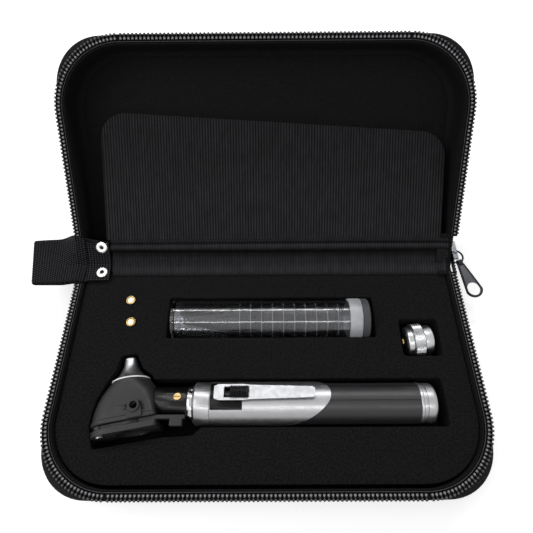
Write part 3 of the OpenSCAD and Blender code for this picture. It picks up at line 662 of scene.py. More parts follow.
def shifted(outline, distance):
    """A closed outline moved outwards by a distance, or inwards if it is negative."""
    area = sum(a[0] * b[1] - b[0] * a[1] for a, b in zip(outline, outline[1:] + outline[:1]))
    side = 1 if area > 0 else -1
    moved = []
    for before, here, after in zip(outline[-1:] + outline[:-1], outline, outline[1:] + outline[:1]):
        a = Vector((here[0] - before[0], here[1] - before[1])).normalized()
        b = Vector((after[0] - here[0], after[1] - here[1])).normalized()
        out_a = Vector((a.y, -a.x)) * side
        out_b = Vector((b.y, -b.x)) * side
        mitre = out_a + out_b
        mitre = mitre / max(0.3, mitre.length_squared) * 2
        moved.append((here[0] + mitre.x * distance, here[1] + mitre.y * distance))
    return moved


def rounded(corners, radius, steps=5):
    """A closed outline through corners, each rounded by the radius."""
    points = []
    for before, here, after in zip(corners[-1:] + corners[:-1], corners, corners[1:] + corners[:1]):
        here = Vector(here)
        to_a = Vector(before) - here
        to_b = Vector(after) - here
        half = to_a.angle(to_b) / 2
        cut = min(radius / math.tan(half), 0.45 * to_a.length, 0.45 * to_b.length)
        start = here + to_a.normalized() * cut
        end = here + to_b.normalized() * cut
        for i in range(steps + 1):
            t = i / steps
            points.append(tuple(start.lerp(here, t).lerp(here.lerp(end, t), t)))
    return points


def front_corners(half_w, depth, radius, steps):
    """Places round the two front corners of one half, with their outward directions."""
    places = []
    for side, first in ((-1, 180), (1, 270)):
        for i in range(steps + 1):
            turn = math.radians(first + 90 * i / steps)
            out = (math.cos(turn), math.sin(turn))
            place = (side * (half_w - radius) + radius * out[0], -depth + radius + radius * out[1])
            places.append((place, out))
    return places


def half_outline(half_w, depth, radius, back):
    """Closed plan of one half: square at the hinge end, round in front. Drawn for the base."""
    points = [(half_w, -back), (-half_w, -back)]
    return points + [place for place, _ in front_corners(half_w, depth, radius, 16)]


def rim_frames(left, right):
    """Places on the zip outline with their outward directions, from the left end round the front."""
    first, last = ((-ZIP_HW, -left), (-1, 0)), ((ZIP_HW, -right), (1, 0))
    return [first, *front_corners(ZIP_HW, CASE_D, ZIP_R, 20), last]


def rim_sweep(name, profile, left, right, matrix):
    """Sweeps a closed profile of inset and height round the rim of one half."""
    rings = [
        [(p[0] - d * out[0], p[1] - d * out[1], z) for d, z in profile]
        for p, out in rim_frames(left, right)
    ]
    return sharpen(mesh_object(name, *loft(rings), matrix), 50)


def tooth_places(left, right):
    """Roots of the teeth of one row, with their outward directions."""
    root = ZIP_HW - TOOTH_L
    front = CASE_D - ZIP_R
    count_front = int(2 * (ZIP_HW - ZIP_R) / TOOTH_PITCH)
    count_corner = int(ZIP_R * math.pi / 2 / TOOTH_PITCH)
    places = [
        (((i - count_front / 2) * TOOTH_PITCH, -CASE_D + TOOTH_L), (0, -1))
        for i in range(count_front + 1)
    ]
    for side in (-1, 1):
        for i in range(1, count_corner):
            turn = math.radians(i * 90 / count_corner)
            out = (side * math.cos(turn), -math.sin(turn))
            r = ZIP_R - TOOTH_L
            places.append(((side * (ZIP_HW - ZIP_R) + r * out[0], -front + r * out[1]), out))
    for side, start in ((-1, left), (1, right)):
        for i in range(int((front - start) / TOOTH_PITCH) + 1):
            places.append(((side * root, -front + i * TOOTH_PITCH), (side, 0)))
    return places


def tooth_rings():
    """Sections of one tooth from its root outwards.

    Each has its distance as a share of the tooth, its half width, its half height and its share of painted
    highlight.
    """
    return [
        (0.00, 0.30, 0.40, 0.0),
        (0.05, 0.48, 0.66, 0.0),
        (0.16, 0.60, 0.80, 1.0),
        (0.30, 0.58, 0.80, 1.0),
        (0.42, 0.40, 0.60, 0.35),
        (0.54, 0.38, 0.56, 0.0),
        (0.64, 0.52, 0.72, 0.0),
        (0.76, 0.62, 0.82, 0.4),
        (0.88, 0.58, 0.76, 0.3),
        (0.96, 0.42, 0.54, 0.0),
        (1.00, 0.20, 0.28, 0.0),
    ]


# Operators. Each makes one piece or a group of like pieces.


class CASE_OT_stage(Operator):
    """Makes the floor, the lamps, the room light and the camera"""

    bl_idname = "case.stage"
    bl_label = "Stage"

    def execute(self, context):
        looks = context.scene.case_studio
        self.camera(context, looks)
        self.floor()
        self.room(context, looks)
        self.lamps(looks)
        context.scene.view_settings.view_transform = "Standard"
        return {"FINISHED"}

    def camera(self, context, looks):
        """A camera in front of the case, above it and turned a little, as the photograph has it."""
        data = bpy.data.cameras.new("camera")
        data.lens = looks.lens
        data.sensor_width = 36
        data.clip_start = 10 * MM
        data.clip_end = 10
        eye = bpy.data.objects.new("camera", data)
        context.scene.collection.objects.link(eye)
        down = math.radians(60.74)
        yaw = Matrix.Rotation(math.radians(0.47), 3, "Z")
        forward = Vector((0, math.cos(down), -math.sin(down)))
        up = Vector((0, math.sin(down), math.cos(down)))
        right = Vector((1, 0, 0))
        roll = math.radians(-0.73)
        axes = [
            right * math.cos(roll) + up * math.sin(roll),
            up * math.cos(roll) - right * math.sin(roll),
            -forward,
        ]
        turned = Matrix([yaw @ axis for axis in axes]).transposed().to_4x4()
        place = Vector((1.1, -58.4, 223.3)) * MM
        eye.matrix_world = Matrix.Translation(place) @ turned
        context.scene.camera = eye

    def seen_directly(self, tree):
        """1 for rays from the camera, off gloss and through glass, which see the background as white."""
        path = add(tree, "ShaderNodeLightPath")
        seen = path.outputs["Is Camera Ray"]
        for kind in ("Is Glossy Ray", "Is Transmission Ray"):
            pair = {0: seen, 1: path.outputs[kind]}
            seen = add(tree, "ShaderNodeMath", pair, operation="MAXIMUM").outputs[0]
        return seen

    def floor(self):
        """A white sheet of paper that goes to the horizon and keeps the case's shadow."""
        size = 3.0
        verts = [(-size, -size, 0), (size, -size, 0), (size, size, 0), (-size, size, 0)]
        floor = mesh_object("floor", verts, [(0, 1, 2, 3)])
        made, tree = new_material("white_paper")
        glow = add(tree, "ShaderNodeMath", {0: self.seen_directly(tree), 1: 0.5}, operation="MULTIPLY")
        surface(tree, {
            "Base Color": (0.8, 0.8, 0.8, 1),
            "Roughness": 1.0,
            "Specular IOR Level": 0.0,
            "Emission Color": (1, 1, 1, 1),
            "Emission Strength": glow.outputs[0],
            "Normal": relief(tree, 3, 0.02),
        })
        floor.data.materials.append(made)

    def room(self, context, looks):
        """A dim white room for the light, which is seen as plain white."""
        world = bpy.data.worlds.new("studio")
        world.use_nodes = True
        tree = world.node_tree
        tree.nodes.clear()
        dim = add(tree, "ShaderNodeBackground", {"Color": (1, 1, 1, 1), "Strength": looks.ambient})
        white = add(tree, "ShaderNodeBackground", {"Color": (1, 1, 1, 1), "Strength": 1.0})
        choice = {0: self.seen_directly(tree), 1: dim.outputs[0], 2: white.outputs[0]}
        mixed = add(tree, "ShaderNodeMixShader", choice)
        add(tree, "ShaderNodeOutputWorld", {"Surface": mixed.outputs[0]})
        context.scene.world = world

    def lamps(self, looks):
        """Two long strips, which draw the streaks on metal and plastic, and a softbox."""
        target = Vector((0, -10, 15)) * MM
        lamps = (
            ("back_strip", looks.back_strip, (0, 410, 490), (0.9, 0.045)),
            ("front_strip", looks.front_strip, (0, -330, 560), (0.9, 0.05)),
            ("softbox", looks.softbox, (-480, -60, 520), (0.35, 0.5)),
        )
        for name, power, where, size in lamps:
            data = bpy.data.lights.new(name, "AREA")
            data.shape = "RECTANGLE"
            data.size, data.size_y = size
            data.energy = power
            lamp = bpy.data.objects.new(name, data)
            bpy.context.scene.collection.objects.link(lamp)
            lamp.location = Vector(where) * MM
            lamp.rotation_euler = (target - lamp.location).to_track_quat("-Z", "Y").to_euler()


class CASE_OT_shells(Operator):
    """Covers the two moulded shells with leather cloth and lines their walls"""

    bl_idname = "case.shells"
    bl_label = "Shells"

    def execute(self, context):
        looks = context.scene.case_looks
        leather = leather_cloth(looks.shell)
        dress(leather, "base_shell", "lid_shell")
        lining = brushed_lining(looks.lining)
        wall = self.wall_profile()
        for body, matrix in (("base", ON_BASE), ("lid", LID_HALF)):
            band = rim_sweep(body + "_wall_lining", wall, 3 * MM, 3 * MM, matrix)
            seat(band, lining, body, "lining_textile")
        panel = plate(
            "lid_lining_panel",
            [half_outline(ZIP_HW - 8.0 * MM, CASE_D - 8.0 * MM, ZIP_R - 8.0 * MM, 5.5 * MM)],
            2.05 * MM,
            3.3 * MM,
            0.5 * MM,
            LID_HALF,
        )
        seat(panel, lining, "lid", "lining_textile", "lid_lining")
        return {"FINISHED"}

    def wall_profile(self):
        """Closed section of the padded lining: over the rim, down the wall and round on to the floor."""
        outer = [(4.0, 18.5), (4.0, 6.4)]
        inner = [(4.9, 18.6), (5.0, 12), (5.0, 7.2)]
        for i in range(1, 6):
            turn = math.radians(180 + 18 * i)
            outer.append((8.2 + 4.2 * math.cos(turn), 6.3 + 4.2 * math.sin(turn)))
            inner.append((8.6 + 3.6 * math.cos(turn), 6.5 + 3.6 * math.sin(turn)))
        return in_mm(outer + inner[::-1] + [(4.75, 18.95), (4.4, 19.0), (4.1, 18.85)])


class CASE_OT_foam(Operator):
    """Makes the foam insert with its die-cut pockets"""

    bl_idname = "case.foam"
    bl_label = "Foam insert"

    def execute(self, context):
        looks = context.scene.case_looks
        half_w = min(FOAM_BOX[1].x + 1.2 * MM, ZIP_HW - 5.5 * MM)
        front = min(HINGE_Y - FOAM_BOX[0].y + 0.5 * MM, CASE_D - 5.5 * MM)
        back = HINGE_Y - FOAM_BOX[1].y
        corner = 28.4 * MM
        top = plate(
            "foam_body",
            [half_outline(half_w, front, corner, back)] + self.pockets(),
            2.2 * MM,
            FOAM_TOP,
            looks.foam_round,
            ON_BASE,
        )
        pad = plate(
            "foam_floor",
            [half_outline(half_w - 3 * MM, front - 3 * MM, corner - 3 * MM, back + 2 * MM)],
            2.05 * MM,
            5.05 * MM,
            0.3 * MM,
            ON_BASE,
        )
        foam = cut_foam(looks.foam)
        seat(top, foam, "base", "foam", "foam_insert")
        seat(pad, foam, "base", "foam")
        self.lower(pad)
        return {"FINISHED"}

    def lower(self, pad):
        """Presses the floor layer down to the level of the pocket floors."""
        for vertex in pad.data.vertices:
            vertex.co.z = min(vertex.co.z, 2.3 * MM)

    def pockets(self):
        """Outlines of the pockets, drawn from the hinge line."""
        turn = Matrix.Rotation(HEAD_TURN, 2)
        middle = Vector((HEAD_X, OTO_Y)) / MM
        head = (
            (13.3, -17.8), (-17.6, -17.4), (-19, -7), (-17.8, -2), (-15.6, 4), (-10.6, 11.6),
            (-6.4, 16.8), (-3.8, 23.6), (3.8, 23.6), (6.4, 15.6), (10.6, 11.6),
        )
        handle = [(-54, -61), (83.7, -61), (83.7, -83), (-29.8, -83), (-33.8, -86.4)]
        otoscope = [tuple(turn @ Vector(p) + middle) for p in head] + handle
        tube = [(-50.8, -40.2), (55.4, -40.2), (55.4, -18.2), (-50.8, -18.2)]
        adapter = [(67.7, -50), (87.1, -50), (87.1, -30.8), (67.7, -30.8)]
        outlines = [rounded(otoscope, 1.6), rounded(tube, 1.2), rounded(adapter, 1.5)]
        outlines += [circle(x, y, 2.7, 24) for x, y in LAMPS.values()]
        return [in_mm(outline) for outline in outlines]


class CASE_OT_zip(Operator):
    """Makes the two rows of zip teeth on their tapes, with the piping inside them"""

    bl_idname = "case.zip"
    bl_label = "Zip"

    def execute(self, context):
        looks = context.scene.case_looks
        teeth = nylon_teeth(looks.teeth, looks.painted_tooth_highlight)
        tape = woven_tape("woven_polyester_tape", looks.tape)
        bead = woven_tape("woven_piping", looks.piping)
        halves = (
            ("base", ON_BASE, ROW_START[0], ROW_START[1]),
            ("lid", LID_HALF, ROW_START[2], ROW_START[3]),
        )
        for half, matrix, left, right in halves:
            row = self.row(half + "_zip_teeth", left, right, matrix)
            seat(row, teeth, half, "zip_tape_teeth", "zip_row_" + half)
            band = rim_sweep(half + "_zip_tape", self.tape_profile(), left, right, matrix)
            seat(band, tape, half, "zip_tape_teeth")
            cord = rim_sweep(half + "_zip_piping", self.piping_profile(), left, right, matrix)
            seat(cord, bead, half, "zip_tape_teeth")
            self.tape_end(half, "left", (-ZIP_HW + 0.9 * MM, -98 * MM), left, matrix, tape)
            slider_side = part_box("zip_slider")[0].x - 0.8 * MM
            self.tape_end(half, "right", (93 * MM, slider_side), right, matrix, tape)
        self.tail(teeth)
        nickel = metal("nickel_plated_zinc", context.scene.case_kit.slider, 0.28, 0.5)
        gunmetal = metal("black_nickel_plate", context.scene.case_kit.gunmetal, 0.3, 0.6)
        dress(nickel, "zip_slider", "zip_bottom_stop")
        dress(gunmetal, "pull_ring")
        soften(0.12, "zip_slider")
        self.puller(gunmetal, metal("satin_black_nickel", context.scene.case_kit.puller_face, 0.45, 0.4))
        return {"FINISHED"}

    def row(self, name, left, right, matrix):
        """One row of teeth. The upward faces of their two humps are marked for a painted highlight."""
        sides = 10
        turns = [2 * math.pi * k / sides for k in range(sides)]
        places = tooth_places(left, right)
        teeth = []
        for place, out in places:
            teeth.append(loft([self.tooth_ring(place, out, ring, turns) for ring in tooth_rings()]))
        made = sharpen(mesh_object(name, *merged(teeth), matrix), 60)
        # Painted highlight on the upward-facing points of the two humps.
        painted_highlight = [top if math.sin(turn) > 0.5 else 0.0 for *_, top in tooth_rings() for turn in turns]
        mark(made, painted_highlight * len(places))
        return made

    def tooth_ring(self, place, out, ring, turns):
        """One section of a tooth whose root is at place and which points along out."""
        share, half_w, half_h, _ = ring
        points = []
        for turn in turns:
            across = half_w * MM * math.cos(turn)
            points.append((
                place[0] + out[0] * share * TOOTH_L - out[1] * across,
                place[1] + out[1] * share * TOOTH_L + out[0] * across,
                RIM_Z + ROW_H / 2 + half_h * MM * math.sin(turn),
            ))
        return points

    def tape_end(self, half, side, span, start, matrix, tape):
        """Sewn-down end of the tape, between the last tooth and the hinge."""
        x0, x1 = span
        front, back = -start - 1.5 * MM, -0.6 * MM
        outline = rounded([(x0, front), (x1, front), (x1, back), (x0, back)], 0.6 * MM)
        name = half + "_tape_end_" + side
        end = plate(name, [outline], RIM_Z + 0.02 * MM, RIM_Z + 0.5 * MM, 0.15 * MM, matrix)
        seat(end, tape, half, "zip_tape_teeth")

    def tape_profile(self):
        """Section of the tape under the teeth, a little hollow towards the piping."""
        loop = [(0.45, 0.05), (3.95, 0.05), (3.95, 0.75), (3.45, 0.8), (3.2, 0.35), (0.45, 0.35)]
        return [(d * MM, RIM_Z + z * MM) for d, z in loop]

    def piping_profile(self):
        """Round section of the piping."""
        return in_mm(circle(3.7, RIM_Z / MM + 0.95, 0.17, 8))

    def tail(self, teeth):
        """End of the closed chain, beyond the hinge, that the slider is parked on."""
        x0, x1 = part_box("zip_slider")[0].x, ZIP_HW - 0.3 * MM
        start = HINGE_Y - ROW_START[1] - 0.6 * MM
        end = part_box("zip_bottom_stop")[1].y
        right_side = [(0.35, 0.0), (0.5, 0.4), (0.5, 1.3), (0.35, 1.65)]
        ring = in_mm(right_side + [(-y, z) for y, z in right_side[::-1]])
        parts = []
        for i in range(int((end - start) / TOOTH_PITCH) + 1):
            y = start + i * TOOTH_PITCH
            ends = (x0 + 0.02 * MM, ZIP_HW)
            parts.append(loft([[(x, y + dy, RIM_Z + dz) for dy, dz in ring] for x in ends]))
        low, high = RIM_Z + 0.3 * MM, RIM_Z + 1.4 * MM
        web = ((x0, low), (x1, low), (x1, high), (x0, high))
        parts.append(loft([[(x, y, z) for x, z in web] for y in (start, end)]))
        tail = sharpen(mesh_object("zip_tail_teeth", *merged(parts)), 40)
        seat(tail, teeth, "base", "zip_tape_teeth")

    def puller(self, gunmetal, plain):
        """Teardrop puller: a flat web with a raised rim round it, a hole, and an eye on the ring."""
        outer_r, hole_r, reach, thick = 4.9, 3.6, 16.2, 0.6
        low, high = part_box("pull_ring")
        centre = (low + high) / 2
        ring_r = (high.x - low.x) / 2 - 0.5 * MM
        matrix = (
            Matrix.Translation(centre)
            @ Matrix.Rotation(math.radians(-71), 4, "Z")
            @ Matrix.Translation((ring_r, 0, 0))
            @ Matrix.Rotation(math.radians(8), 4, "Y")
        )
        tangent = math.acos((outer_r - 1.6) / (reach - 1.1))
        arc = [tangent - 2 * tangent * i / 28 for i in range(29)]
        end = [(reach + outer_r * math.cos(a), outer_r * math.sin(a)) for a in arc]
        edge = in_mm([(1.1, 1.9)] + end + [(1.1, -1.9)])
        hole = in_mm(circle(reach, 0, hole_r, 32))
        web = plate("puller_web", [edge, hole], -0.35 * MM, 0.35 * MM, 0.1 * MM, matrix)
        inner = shifted(edge, -1.0 * MM)
        rim = plate("puller_rim", [edge, inner], -thick * MM, thick * MM, 0.3 * MM, matrix)
        eye_profile = [(0.92, -1.2), (1.5, -1.2), (1.6, -1.0), (1.6, 1.0), (1.5, 1.2), (0.92, 1.2)]
        eye = lathe("puller_eye", eye_profile, matrix @ Matrix.Rotation(math.pi / 2, 4, "X"), 32)
        seat(web, plain, "puller", "ring_metal", "zip_puller")
        seat(rim, gunmetal, "puller", "ring_metal")
        seat(eye, gunmetal, "puller", "ring_metal")


class CASE_OT_flap(Operator):
    """Makes the ribbed divider flap of the lid"""

    bl_idname = "case.flap"
    bl_label = "Divider flap"

    def execute(self, context):
        looks = context.scene.case_looks
        x0, x1, radius = -85.5 * MM, 93.5 * MM, 13 * MM
        tall, low = 65.5 * MM, 55.5 * MM
        columns = int((x1 - x0) / looks.rib_pitch * PER_RIB)
        steps = 26
        thick = 0.45 * MM
        rows = []
        for i in range(columns + 1):
            x = x0 + (x1 - x0) * i / columns
            top = self.top(x, x0, x1, radius, tall, low)
            hem = min(1.0, (x - x0) / MM, (x1 - x) / MM)
            # Painted highlight on the rib tops and painted shade in the hollows, with an even middle at the
            # hem.
            shine = rib_at(i) if hem > 0.6 else 0.3
            row = []
            for j in range(steps + 1):
                y = top * j / steps
                middle = self.wave(x, y) - 0.1 * MM
                rise = looks.rib_height * rib_at(i) * max(0.15, hem) * min(1, 0.2 + (steps - j))
                row.append(((x, y, middle + rise), (x, y, middle - thick), shine))
            rows.append(row)
        flap = cloth("flap_cloth", rows, 60, ON_FLAP)
        seat(flap, ribbed_cloth(looks.flap), "flap", "flap_textile", "divider_flap")
        return {"FINISHED"}

    def top(self, x, x0, x1, radius, tall, low):
        """Height of the top edge at x: a straight slope between two round corners."""
        left, right = x0 + radius, x1 - radius
        if x < left:
            return tall - radius + math.sqrt(max(0, radius ** 2 - (left - x) ** 2))
        if x > right:
            return low - radius + math.sqrt(max(0, radius ** 2 - (x - right) ** 2))
        return tall + (low - tall) * (x - left) / (right - left)

    def wave(self, x, y):
        """Slow waves of a cloth that has been folded away and let out again."""
        rise = math.sin(x / (31 * MM) + 1.3) * math.sin(y / (24 * MM)) * 0.35
        rise += math.sin(x / (12 * MM) + y / (30 * MM)) * 0.1 * min(1, y / (20 * MM))
        return rise * MM


class CASE_OT_hinge_cloth(Operator):
    """Makes the ribbed cloth that is folded across the hinge, and the leather strip behind it"""

    bl_idname = "case.hinge_cloth"
    bl_label = "Hinge cloth"

    def execute(self, context):
        looks = context.scene.case_looks
        x0, x1 = -83.2 * MM, 97.6 * MM
        columns = int((x1 - x0) / looks.rib_pitch * PER_RIB)
        line = smooth_line(self.stations(), 4)
        depth = self.depth(len(line))
        rows = []
        for i in range(columns + 1):
            x = x0 + (x1 - x0) * i / columns
            pairs = self.section(line, x, looks.rib_height * rib_at(i))
            shine = 0.35 + 0.65 * rib_at(i)
            # Painted highlight on the rib tops, and painted shade in the hollows and deep in the folds.
            rows.append([(front, back, shine * (1 - d)) for (front, back), d in zip(pairs, depth)])
        hinge = cloth("hinge_cloth", rows, 60)
        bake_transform(hinge)
        material = ribbed_cloth(looks.flap)
        seat(hinge, material, None, "lining_textile", "hinge_strip_base", "hinge_strip_lid")
        self.spine()
        return {"FINISHED"}

    def stations(self):
        """Middle line of the cloth at rest, in the plane of Y and Z, from the foam to the flap."""
        base = ((-5.0, 17.3), (-4.2, 18.3), (-2.6, 18.9), (-0.8, 19.2))
        lid = (
            (1.6, -0.9), (3.6, -0.9), (5.0, -1.3), (6.4, -1.7), (7.6, -1.0), (8.6, 0.1), (9.6, 0.5),
            (10.6, 0.2), (11.4, -0.8), (12.0, -1.5), (12.6, -0.9), (13.3, -0.6), (14.0, -1.1), (14.3, -2.3),
        )
        return across_hinge(base, lid)

    def depth(self, count):
        """How far down in a fold each point of the middle line lies, from 0 to 1, for the shading."""
        places = (
            (0.0, 0.3), (0.1, 0.0), (0.28, 0.0), (0.36, 0.75), (0.5, 0.9), (0.6, 0.3),
            (0.68, 0.0), (0.74, 0.3), (0.8, 0.8), (0.85, 0.2), (0.9, 0.5), (1.0, 1.0),
        )
        shades = []
        for i in range(count):
            t = i / (count - 1)
            k = max(n for n in range(len(places) - 1) if places[n][0] <= t)
            (a, da), (b, db) = places[k], places[k + 1]
            shades.append(da + (db - da) * min(1, (t - a) / (b - a)))
        return shades

    def section(self, line, x, rib):
        """Front and back points of the cloth at x, a little slack from place to place."""
        share = (x + 83 * MM) / (181 * MM)
        pairs = []
        for i, p in enumerate(line):
            along = heading(line, i)
            out = Vector((0, -along.z, along.y))
            slack = math.sin(i * 0.35 + 5 * share) * math.sin(math.pi * min(1, i / len(line))) * 0.18 * MM
            spot = Vector((x, p.y, p.z)) + out * slack
            pairs.append((spot + out * rib, spot - out * 0.4 * MM))
        return pairs

    def spine(self):
        """Narrow strip of leather cloth that closes the hinge from behind."""
        x0, x1 = -101.2 * MM, 100.4 * MM
        low = ((-0.35, 13.8), (-0.35, 15.6), (-0.2, 17.4), (0.25, 18.8))
        high = ((0.1, -2.2), (0.3, -4.2), (0.35, -6.2))
        line = smooth_line(across_hinge(low, high), 3)
        rings = []
        for x in (x0, x1):
            front, back = [], []
            for i, p in enumerate(line):
                along = heading(line, i)
                out = Vector((0, along.z, -along.y))
                front.append((x, p.y + out.y * 0.35 * MM, p.z + out.z * 0.35 * MM))
                back.append((x, p.y - out.y * 0.25 * MM, p.z - out.z * 0.25 * MM))
            rings.append(front + back[::-1])
        strip = sharpen(mesh_object("hinge_spine", *loft(rings)), 60)
        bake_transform(strip)
        seat(strip, bpy.data.materials["pu_leather_cloth"], None, "shell_leatherette")


class CASE_OT_strap(Operator):
    """Makes the webbing loop, its riveted root and the leather tab at the other end of the hinge"""

    bl_idname = "case.strap"
    bl_label = "Webbing strap"

    def execute(self, context):
        looks = context.scene.case_looks
        webbing = polypropylene_webbing(looks.webbing)
        self.loop(looks, webbing)
        self.root(looks, webbing)
        self.tab()
        return {"FINISHED"}

    def weave(self, looks, u, v):
        """Height of the basket weave at u along and v across the webbing, from 0 to 1."""
        column = u / looks.weft_pitch
        row = v / looks.warp_pitch + 0.5 * (math.floor(column) % 2)
        return abs(math.sin(math.pi * column)) ** 1.2 * abs(math.sin(math.pi * row)) ** 2.5

    def fine(self, line, step):
        """Length of a line, with points about a step apart along it and their distances from its start."""
        run, distances, spots = 0.0, [], []
        for a, b in zip(line, line[1:]):
            stretch = (b - a).length
            count = max(1, round(stretch / step))
            distances += [run + stretch * k / count for k in range(count)]
            spots += [a.lerp(b, k / count) for k in range(count)]
            run += stretch
        return run, distances + [run], spots + [line[-1]]

    def loop(self, looks, webbing):
        """Two layers that leave the hinge side by side and turn back on themselves at the left."""
        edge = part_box("base_shell")[0].x - 0.5 * MM
        reach = edge - STRAP_BOX[0].x
        thick = looks.strap_t * 0.75
        z_low, z_top = 18.7 * MM, 21.3 * MM
        turn_r = (z_top - z_low) / 2
        end = reach - turn_r - thick / 2
        line = [Vector((-4.2 * MM, 0, z_top - 1.5 * MM)), Vector((-1.5 * MM, 0, z_top - 0.7 * MM))]
        line += [Vector((k * end / 6, 0, z_top)) for k in range(7)]
        for i in range(1, 8):
            a = math.radians(90 - 180 * i / 8)
            line.append(Vector((end + math.cos(a) * turn_r, 0, (z_top + z_low) / 2 + math.sin(a) * turn_r)))
        line += [Vector((end - k * end / 6, 0, z_low)) for k in range(7)]
        run, distances, spots = self.fine(line, looks.weft_pitch / 6)
        across, width = 156, 27 * MM
        rows = []
        for i, (u, p) in enumerate(zip(distances, spots)):
            along = heading(spots, i)
            out = Vector((-along.z, 0, along.x))
            row = []
            for j in range(across + 1):
                v = -1 + 2 * j / across
                height = self.weave(looks, u, v * width / 2) * min(1, (1 - abs(v)) * 16 + 0.3)
                half = thick * 0.5 * (1 if abs(v) < 0.95 else 0.6)
                front = self.spread(p + out * (half + (height - 0.5) * 0.4 * MM), v, edge, reach)
                back = self.spread(p - out * (half - 0.1 * MM), v, edge, reach)
                # The weave height also paints light: painted highlight on the bumps, painted shade between
                # them.
                row.append((front, back, height))
            rows.append(row)
        strap = cloth("strap_loop", rows, 70)
        seat(strap, webbing, "base", "strap_webbing", "handle_strap")

    def spread(self, p, v, edge, reach):
        """Place of a point of the loop: p.x is the distance from the case, and v runs from -1 to 1 across.

        The back edge is longer than the front one, and rises on to the lid where it meets the case.
        """
        share = max(0, p.x / reach)
        near = max(0, 1 - share / 0.55) ** 2
        back = 16.3 - 5.5 * near - 1.0 * share ** 3
        front = -9.8 - 1.2 * min(1, share * 3)
        y = (front + (back - front) * (v + 1) / 2) * MM
        stretch = 0.91 + 0.095 * v
        rise = max(0, y) * math.tan(LID_ANGLE) * near
        return (edge - p.x * stretch, HINGE_Y + y, p.z + rise)

    def root(self, looks, webbing):
        """Spread end of the webbing under the two rivets, across the hinge."""
        x0, x1 = -102.4 * MM, -84.4 * MM
        low = ((-8.4, 18.75), (-6, 18.85), (-3, 18.9), (-0.6, 19.2))
        high = ((1.2, -1.15), (4, -1.3), (9, -1.3), (13.2, -1.3))
        up = (ON_LID.to_3x3() @ Vector((0, 1, 0))).normalized()
        run, distances, spots = self.fine(across_hinge(low, high), looks.warp_pitch / 6)
        across = 84
        rows = []
        for i, (u, p) in enumerate(zip(distances, spots)):
            along = heading(spots, i)
            out = Vector((0, -along.z, along.y))
            row = []
            for j in range(across + 1):
                x = x0 + (x1 - x0) * j / across
                flare = max(0, 1 - (x - x0) / (8 * MM)) ** 1.5
                spot = Vector((x, p.y, p.z))
                spot -= Vector((0, 3.6 * MM, 0)) * flare * max(0, 1 - u / (6 * MM))
                spot += up * 3.2 * MM * flare * max(0, 1 - (run - u) / (8 * MM))
                spot += out * 0.5 * MM * flare
                height = self.weave(looks, x - x0, u + (x - x0) * 0.35)
                # The weave height also paints light: painted highlight on the bumps, painted shade between
                # them.
                row.append((spot + out * (0.25 + height * 0.4) * MM, spot - out * 0.45 * MM, height))
            rows.append(row)
        root = cloth("strap_root", rows, 70)
        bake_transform(root)
        seat(root, webbing, None, "strap_webbing", "strap_end_lid")

    def tab(self):
        """Half-round leather tab over the end of the zip tape."""
        leather = bpy.data.materials["pu_leather_cloth"]
        arc = [math.radians(-90 + 180 * i / 18) for i in range(19)]
        outline = [(92.6 + 5.6 * math.cos(a), 5.6 + 4.9 * math.sin(a)) for a in arc]
        outline += [(91.9, 10.4), (91.6, 0.8)]
        tab = plate("zip_end_tab", [in_mm(outline)], 19.0 * MM, 19.85 * MM, 0.3 * MM, ON_LID)
        seat(tab, leather, "lid", "shell_leatherette", "tape_end_tab")


class CASE_OT_rivets(Operator):
    """Makes the two tubular rivets of the strap"""

    bl_idname = "case.rivets"
    bl_label = "Rivets"

    def execute(self, context):
        plated = metal("bright_nickel_plate", linear("#f1f1ef"), 0.3, 0.4)
        for body, matrix, place in (
            ("base", ON_BASE, (-89.0, -3.4, 19.15)),
            ("lid", ON_LID, (-88.5, 10.0, 19.15)),
        ):
            spot = matrix @ Matrix.Translation(Vector(place) * MM)
            rivet = lathe("rivet_" + body, self.profile(), spot, 56, 50)
            seat(rivet, plated, body, "rivet_metal", "strap_rivet_" + body)
        return {"FINISHED"}

    def profile(self):
        """Half section: a domed flange that rolls over into the hole."""
        loop = [(2.95, 0.0), (3.05, 0.14), (2.95, 0.3)]
        for i in range(7):
            a = math.radians(60 + 20 * i)
            loop.append((1.95 + 0.95 * math.cos(a), 0.05 + 0.62 * math.sin(a)))
        return loop + [(0.95, 0.1), (0.9, -0.9), (1.2, -0.9), (1.25, 0.0)]


